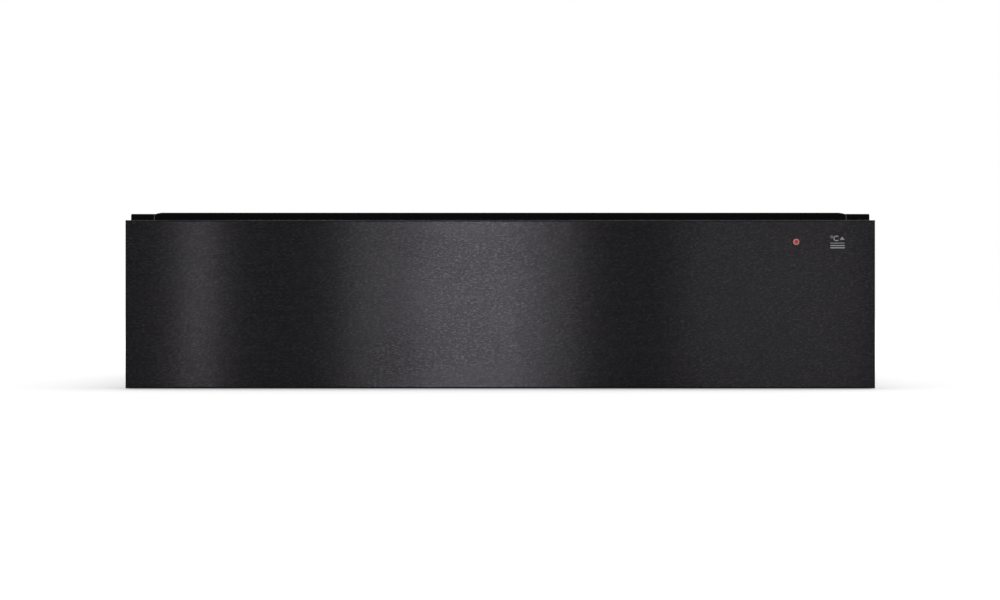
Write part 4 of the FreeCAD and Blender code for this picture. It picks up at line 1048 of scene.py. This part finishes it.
@dataclass
class ControlBar(SubAssembly):
    """Bar behind the front with temperature knob and power switch. Sizes in millimetres.

    The rocker's two slopes rise by rocker_rise over rocker_run from rocker_low above its pivot.
    """

    finishes: ClassVar = {
        GRAINED_ABS: ("control_bar", "control_bar_cover", "selector_body", "switch_housing"),
        SOLDER_RESIST: ("control_board",),
        SATIN_POLYAMIDE: ("temperature_knob",),
        POLISHED_PC: ("power_rocker",),
        ZINC_PLATED: ("selector_spindle",),
    }
    top: float = 108.0
    flat_end: float = -233.0
    edge_radius: float = 6.0
    knob: Pair = (150.0, -246.25)
    knob_top: float = 121.8
    scale: tuple[str, ...] = ("0", "30", "40", "50", "60", "70", "80")
    scale_radius: float = 17.6
    tick_radius: float = 16.0
    step: float = 45.0
    ink: float = 0.06
    rocker: Vector3 = (236.0, -246.25, 105.0)
    rocker_tilt: float = 7.0
    rocker_low: float = 3.8
    rocker_rise: float = 1.8
    rocker_run: float = 7.3
    rocker_sign_x: float = 5.75
    cover_screws: Places = ((-215.0, -110.0, 0.0, 95.0, 245.0), -246.25, 78.0)
    cans: Places = ((206.0, 213.0), -251.0, 88.0)
    ribs: Places = ((158.0, 162.0, 172.0, 176.0, 186.0, 190.0), -252.75, 81.0)

    def build(self) -> None:
        """Adds the knob's scale and pointer, the marks on the rocker and the cover's screws."""
        add_piece("dial_scale", self.dial(), PRINT_INK, "drawer", smooth=20.0)
        x, y = self.knob
        line = slab(rounded(1.1, 9.0, 0.5, 4), 0.12).at([(x, y - 7.4, self.knob_top - 0.02)])
        add_piece("knob_pointer", line, PRINT_INK, "knob")
        add_piece("rocker_marks", self.rocker_signs(), PRINT_INK, "rocker", smooth=20.0)
        heads = screw_head(2.8, 1.6).at(grid(*self.cover_screws), DOWN)
        add_fasteners("bar_cover_screws", "drawer", heads, finish=BLACK_SCREW)
        add_piece("board_parts", self.board_parts(), WHITE_POLYAMIDE, "drawer")

    def dial(self) -> Shell:
        """Numbers and tick marks round the knob, laid on the bar's top.

        Number i stands at an angle of i steps clockwise from the front. Behind the flat part the
        bar's edge is rounded, so each point sinks by r - sqrt(r^2 - d^2), where d is how far it lies
        beyond the flat and r is the edge's radius.

        Returns:
            The shell.
        """
        x, y = self.knob
        marks = []
        for i, text in enumerate(self.scale):
            angle = math.radians(-90.0 - self.step * i)
            across, along = math.cos(angle), math.sin(angle)
            straight = abs(along) > 0.8
            size = 2.5 if straight else 3.2
            reach = self.scale_radius - (1.0 if straight else 0.0)
            reach += 1.4 if abs(along) < 0.2 else 0.0
            spot = (x + reach * across, y + reach * along, self.top)
            marks.append(lettering(text, size, self.ink).at([spot]))
            if i:
                middle = math.radians(-90.0 - self.step * (i - 0.5))
                across, along = self.tick_radius * math.cos(middle), self.tick_radius * math.sin(middle)
                spot = (x + across, y + along, self.top)
                marks.append(slab(rounded(1.6, 0.45, 0.15, 2), self.ink).at([spot], UP, middle))
        scale = gathered(marks)
        beyond = np.clip(scale.points[:, 1] / MM - self.flat_end, 0.0, 0.95 * self.edge_radius)
        sunk = self.edge_radius - np.sqrt(self.edge_radius**2 - beyond**2)
        return replace(scale, points=scale.points - np.outer(sunk, UP) * MM)

    def rocker_signs(self) -> Shell:
        """Ring and stroke on the rocker's two slopes, turned with it about its pivot.

        Returns:
            The shell.
        """
        slope = math.atan(self.rocker_rise / self.rocker_run)
        tilt = math.radians(self.rocker_tilt)
        x, y, z = self.rocker
        height = self.rocker_low + self.rocker_rise * self.rocker_sign_x / self.rocker_run
        ring = washer(1.25, 0.8, self.ink, 24)
        stroke = slab(rounded(0.55, 2.6, 0.2, 3), self.ink)
        signs = []
        for side, shape in zip(SIDES, (ring, stroke)):
            across = self.rocker_sign_x * side
            lean = -side * slope - tilt
            spot = (
                x + across * math.cos(tilt) - height * math.sin(tilt),
                y,
                z + across * math.sin(tilt) + height * math.cos(tilt),
            )
            signs.append(shape.at([spot], (math.sin(lean), 0.0, math.cos(lean))))
        return gathered(signs)

    def board_parts(self) -> Shell:
        """Two capacitors under the circuit board, and the keying ribs of the plug headers."""
        can = turned([(3.0, 0.0), (3.0, 5.6), (2.7, 6.0)], 20)
        rib = slab(rounded(1.0, 6.4, 0.3, 3), 1.0)
        return gathered([can.at(grid(*self.cans), DOWN), rib.at(grid(*self.ribs), DOWN)])


@dataclass
class FanHeater(SubAssembly):
    """Cross-flow fan with its motor, and the heating tubes. Sizes in millimetres."""

    finishes: ClassVar = {
        ROLLED_ALUMINIUM: ("fan_wheel",),
        GALVANISED: ("fan_housing", "heater_brackets"),
        RUBBER: ("fan_bearing",),
        LAMINATED_IRON: ("motor_core", "motor_rotor"),
        ENAMELLED_COPPER: ("motor_coil",),
        ZINC_PLATED: ("motor_bridges", "temperature_sensor"),
        HEAT_TINTED_STEEL: ("heater_tubes",),
        STEATITE: ("heater_ends", "thermal_cutout"),
    }
    axis: Pair = (199.0, 76.0)
    ring_places: Row = (-106.4, -52.4, 1.6)
    core_x: Pair = (71.2, 87.2)
    core_rivets: Places = ((183.0, 215.0), (34.0, 93.0))
    heater_x: Pair = (-156.0, 70.2)
    heater_pins: Places = (176.0, (42.5, 53.5))
    coil_middle: Pair = (79.2, 36.0)
    coil_size: Pair = (31.0, 26.0)
    coil_inset: float = 1.6
    wire_pitch: float = 1.1
    cheek_y: float = 9.05

    def build(self) -> None:
        """Adds the impeller's rings, the winding, rivets and the heater's terminal pins."""
        ring = washer(19.9, 15.6, 0.8, 64).at(grid(self.ring_places, *self.axis), RIGHT)
        add_piece("impeller_rings", ring, ROLLED_ALUMINIUM, "fan")
        copper = add_piece("motor_winding", self.winding(), ENAMELLED_COPPER, "drawer")
        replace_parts(copper, "motor_coil")
        cheeks = add_piece("motor_bobbin", self.bobbin(), WHITE_POLYAMIDE, "drawer")
        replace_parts(cheeks, "motor_coil")
        pin = turned([(1.1, 0.0), (1.1, 5.0), (0.7, 5.6)], 16)
        rivets = []
        pins = []
        for out, core, heater in zip(OUTWARD.values(), self.core_x, self.heater_x):
            rivets.append(rivet_head(2.4, 1.2).at(grid(core, *self.core_rivets), out))
            pins.append(pin.at(grid(heater, *self.heater_pins), out))
        add_fasteners("core_rivets", "drawer", *rivets)
        add_fasteners("heater_pins", "drawer", *pins)

    def around_leg(self) -> Array:
        """Path round the frame's lower leg, with round corners, just inside the coil's outline."""
        width, height = (size - 2 * self.coil_inset for size in self.coil_size)
        loop = rounded(width, height, 4.0) + self.coil_middle
        return np.column_stack([loop[:, 0], np.full(len(loop), self.axis[0]), loop[:, 1]])

    def winding(self) -> Shell:
        """Copper turns side by side: the outer edge of the section waves with the wire's pitch."""
        along = np.linspace(-8.4, 8.4, 61)
        wave = 0.22 * np.abs(np.sin(math.pi * along / self.wire_pitch))
        outer = np.column_stack([wave - 0.3, along])
        section = np.concatenate([outer, [(-5.6, 8.4), (-5.6, -8.4)]])
        return carried(self.around_leg(), section * (-1.0, 1.0), BACK, loop=True)

    def bobbin(self) -> Shell:
        """Two cheeks that hold the winding, each a flat frame round the leg."""
        section = np.array([(-6.6, -0.6), (1.4, -0.6), (1.6, -0.3), (1.6, 0.3), (1.4, 0.6), (-6.6, 0.6)])
        cheeks = []
        for side in SIDES:
            path = self.around_leg() + np.array([0.0, side * self.cheek_y, 0.0])
            cheeks.append(carried(path, section * (-1.0, 1.0), BACK, loop=True))
        return gathered(cheeks)


@dataclass(frozen=True)
class Lamp:
    """Soft area lamp: where it stands, what it faces, its size in metres and its brightness.

    Brightness is radiance, where 1 is as bright as the white background.
    """

    name: str
    place: Vector3
    target: Vector3
    size: Pair
    brightness: float

    def build(self) -> None:
        """Adds the lamp; a flat lamp's power is its radiance times pi times its area."""
        data = bpy.data.lights.new(self.name, "AREA")
        data.shape = "RECTANGLE"
        data.size, data.size_y = self.size
        data.energy = self.brightness * math.pi * self.size[0] * self.size[1]
        holder = placed(self.name, data)
        holder.location = self.place
        aim = Vector(self.target) - Vector(self.place)
        holder.rotation_euler = aim.to_track_quat("-Z", "Y").to_euler()


def strip(name: str, x: float, width: float, brightness: float, y: float = -3.6) -> Lamp:
    """Low lamp far in front, square to the front, which the brushed steel shows as one tall band."""
    return Lamp(name, (x, y, 0.11), (x, 0.0, 0.11), (width, 0.2), brightness)


@dataclass
class Studio:
    """Pale floor, white surroundings, soft lamps and the camera of the photograph. Metres."""

    floor_radius: float = 9.0
    floor_corners: int = 96
    floor_z: float = -0.0001
    camera_distance: float = 2.5
    camera_height: float = 0.0709
    front: float = -0.2846
    lens: float = 113.05
    surround: float = 0.5
    lamps: tuple[Lamp, ...] = (
        strip("strip_middle", -0.05, 0.20, 23.0),
        strip("strip_middle_wide", -0.073, 0.42, 18.9, y=-3.62),
        strip("strip_left", -0.56, 0.04, 42.0),
        strip("strip_right", 0.51, 0.35, 7.2),
        Lamp("soft_top", (0.2, 0.1, 2.3), (0.0, 0.0, 0.0), (2.0, 2.0), 1.9),
        Lamp("soft_left", (-2.6, 0.2, 1.1), (0.0, 0.0, 0.07), (1.4, 1.4), 1.3),
        Lamp("soft_right", (2.6, 0.4, 1.1), (0.0, 0.0, 0.07), (1.4, 1.4), 1.3),
        Lamp("soft_back", (0.3, 2.8, 1.2), (0.0, 0.0, 0.07), (1.6, 1.4), 1.3),
    )

    def build(self) -> None:
        """Builds floor, surroundings, lamps and camera, and sets the plain view transform."""
        self.floor()
        self.surroundings()
        for lamp in self.lamps:
            lamp.build()
        self.camera()
        bpy.context.scene.view_settings.view_transform = "Standard"

    @staticmethod
    def seen(tree: Tree) -> Socket:
        """Factor that is 1 for what the camera sees, straight or by reflection or through glass."""
        path = add_node(tree, "LightPath")
        mirrored = {0: path.outputs["Is Camera Ray"], 1: path.outputs["Is Glossy Ray"]}
        first = add_node(tree, "Math", mirrored, operation="MAXIMUM")
        through = {0: first.outputs[0], 1: path.outputs["Is Transmission Ray"]}
        return add_node(tree, "Math", through, operation="MAXIMUM").outputs[0]

    def floor(self) -> None:
        """Round floor: matt pale board, with light added for the eye so that it is white off shadow.

        The added light grows with the distance from the object, where the lamps reach less.
        """
        angle = np.linspace(0.0, 2.0 * math.pi, self.floor_corners, endpoint=False)
        height = np.full(len(angle), self.floor_z)
        rim = np.column_stack([self.floor_radius * np.cos(angle), self.floor_radius * np.sin(angle), height])
        mesh = bpy.data.meshes.new("floor")
        mesh.from_pydata(rim.tolist(), [], [list(range(len(angle)))])
        board = bpy.data.materials.new("pale_matt_floor")
        tree = fresh_tree(board)
        place = add_node(tree, "TexCoord").outputs["Object"]
        cloud = add_node(tree, "TexNoise", {"Vector": place, "Scale": 3.0, "Detail": 2.0})
        tones = {0: cloud.outputs["Fac"], 6: linear("#E9E9E9"), 7: linear("#E6E6E6")}
        tone = add_node(tree, "Mix", tones, data_type="RGBA").outputs[2]
        matt = add_node(tree, "BsdfDiffuse", {"Color": tone})
        away = add_node(tree, "VectorMath", {0: place}, operation="LENGTH").outputs["Value"]
        fade = {"Value": away, "From Min": 0.5, "From Max": 2.4, "To Min": 0.32, "To Max": 0.72}
        whiter = add_node(tree, "MapRange", fade).outputs[0]
        strength = add_node(tree, "Math", {0: self.seen(tree), 1: whiter}, operation="MULTIPLY")
        lift = add_node(tree, "Emission", {"Strength": strength.outputs[0]})
        both = add_node(tree, "AddShader", {0: matt.outputs[0], 1: lift.outputs[0]})
        add_node(tree, "OutputMaterial", {"Surface": both.outputs[0]})
        mesh.materials.append(board)
        floor = placed("floor", mesh)

    def surroundings(self) -> None:
        """White world: strength 1 for what the eye sees, less for the light that it gives."""
        world = bpy.data.worlds.new("surroundings")
        bpy.context.scene.world = world
        tree = fresh_tree(world)
        limits = {"Value": self.seen(tree), "To Min": self.surround, "To Max": 1.0}
        strength = add_node(tree, "MapRange", limits)
        light = add_node(tree, "Background", {"Strength": strength.outputs[0]})
        light.inputs["Color"].default_value = (1.0, 1.0, 1.0, 1.0)
        add_node(tree, "OutputWorld", {"Surface": light.outputs[0]})

    def camera(self) -> None:
        """Level camera, square to the front, as far away as the photograph's flat view asks."""
        data = bpy.data.cameras.new("camera")
        data.lens = self.lens
        data.sensor_width = 36.0
        holder = placed("camera", data)
        holder.location = (-0.0002, self.front - self.camera_distance, self.camera_height)
        holder.rotation_euler = (math.pi / 2, 0.0, 0.0)
        bpy.context.scene.camera = holder


def main() -> None:
    """Builds and dresses every sub-assembly in order, then the studio, and logs each piece and finish."""
    logging.basicConfig(level=logging.INFO, format="%(name)s: %(message)s")
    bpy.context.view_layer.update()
    for kind in (Carcass, BackFittings, Runners, DecorativeFront, DrawerBox, ControlBar, FanHeater):
        log.info("building %s", kind.__name__)
        part = kind()
        part.build()
        part.dress()
    Studio().build()


if __name__ == "__main__":
    main()
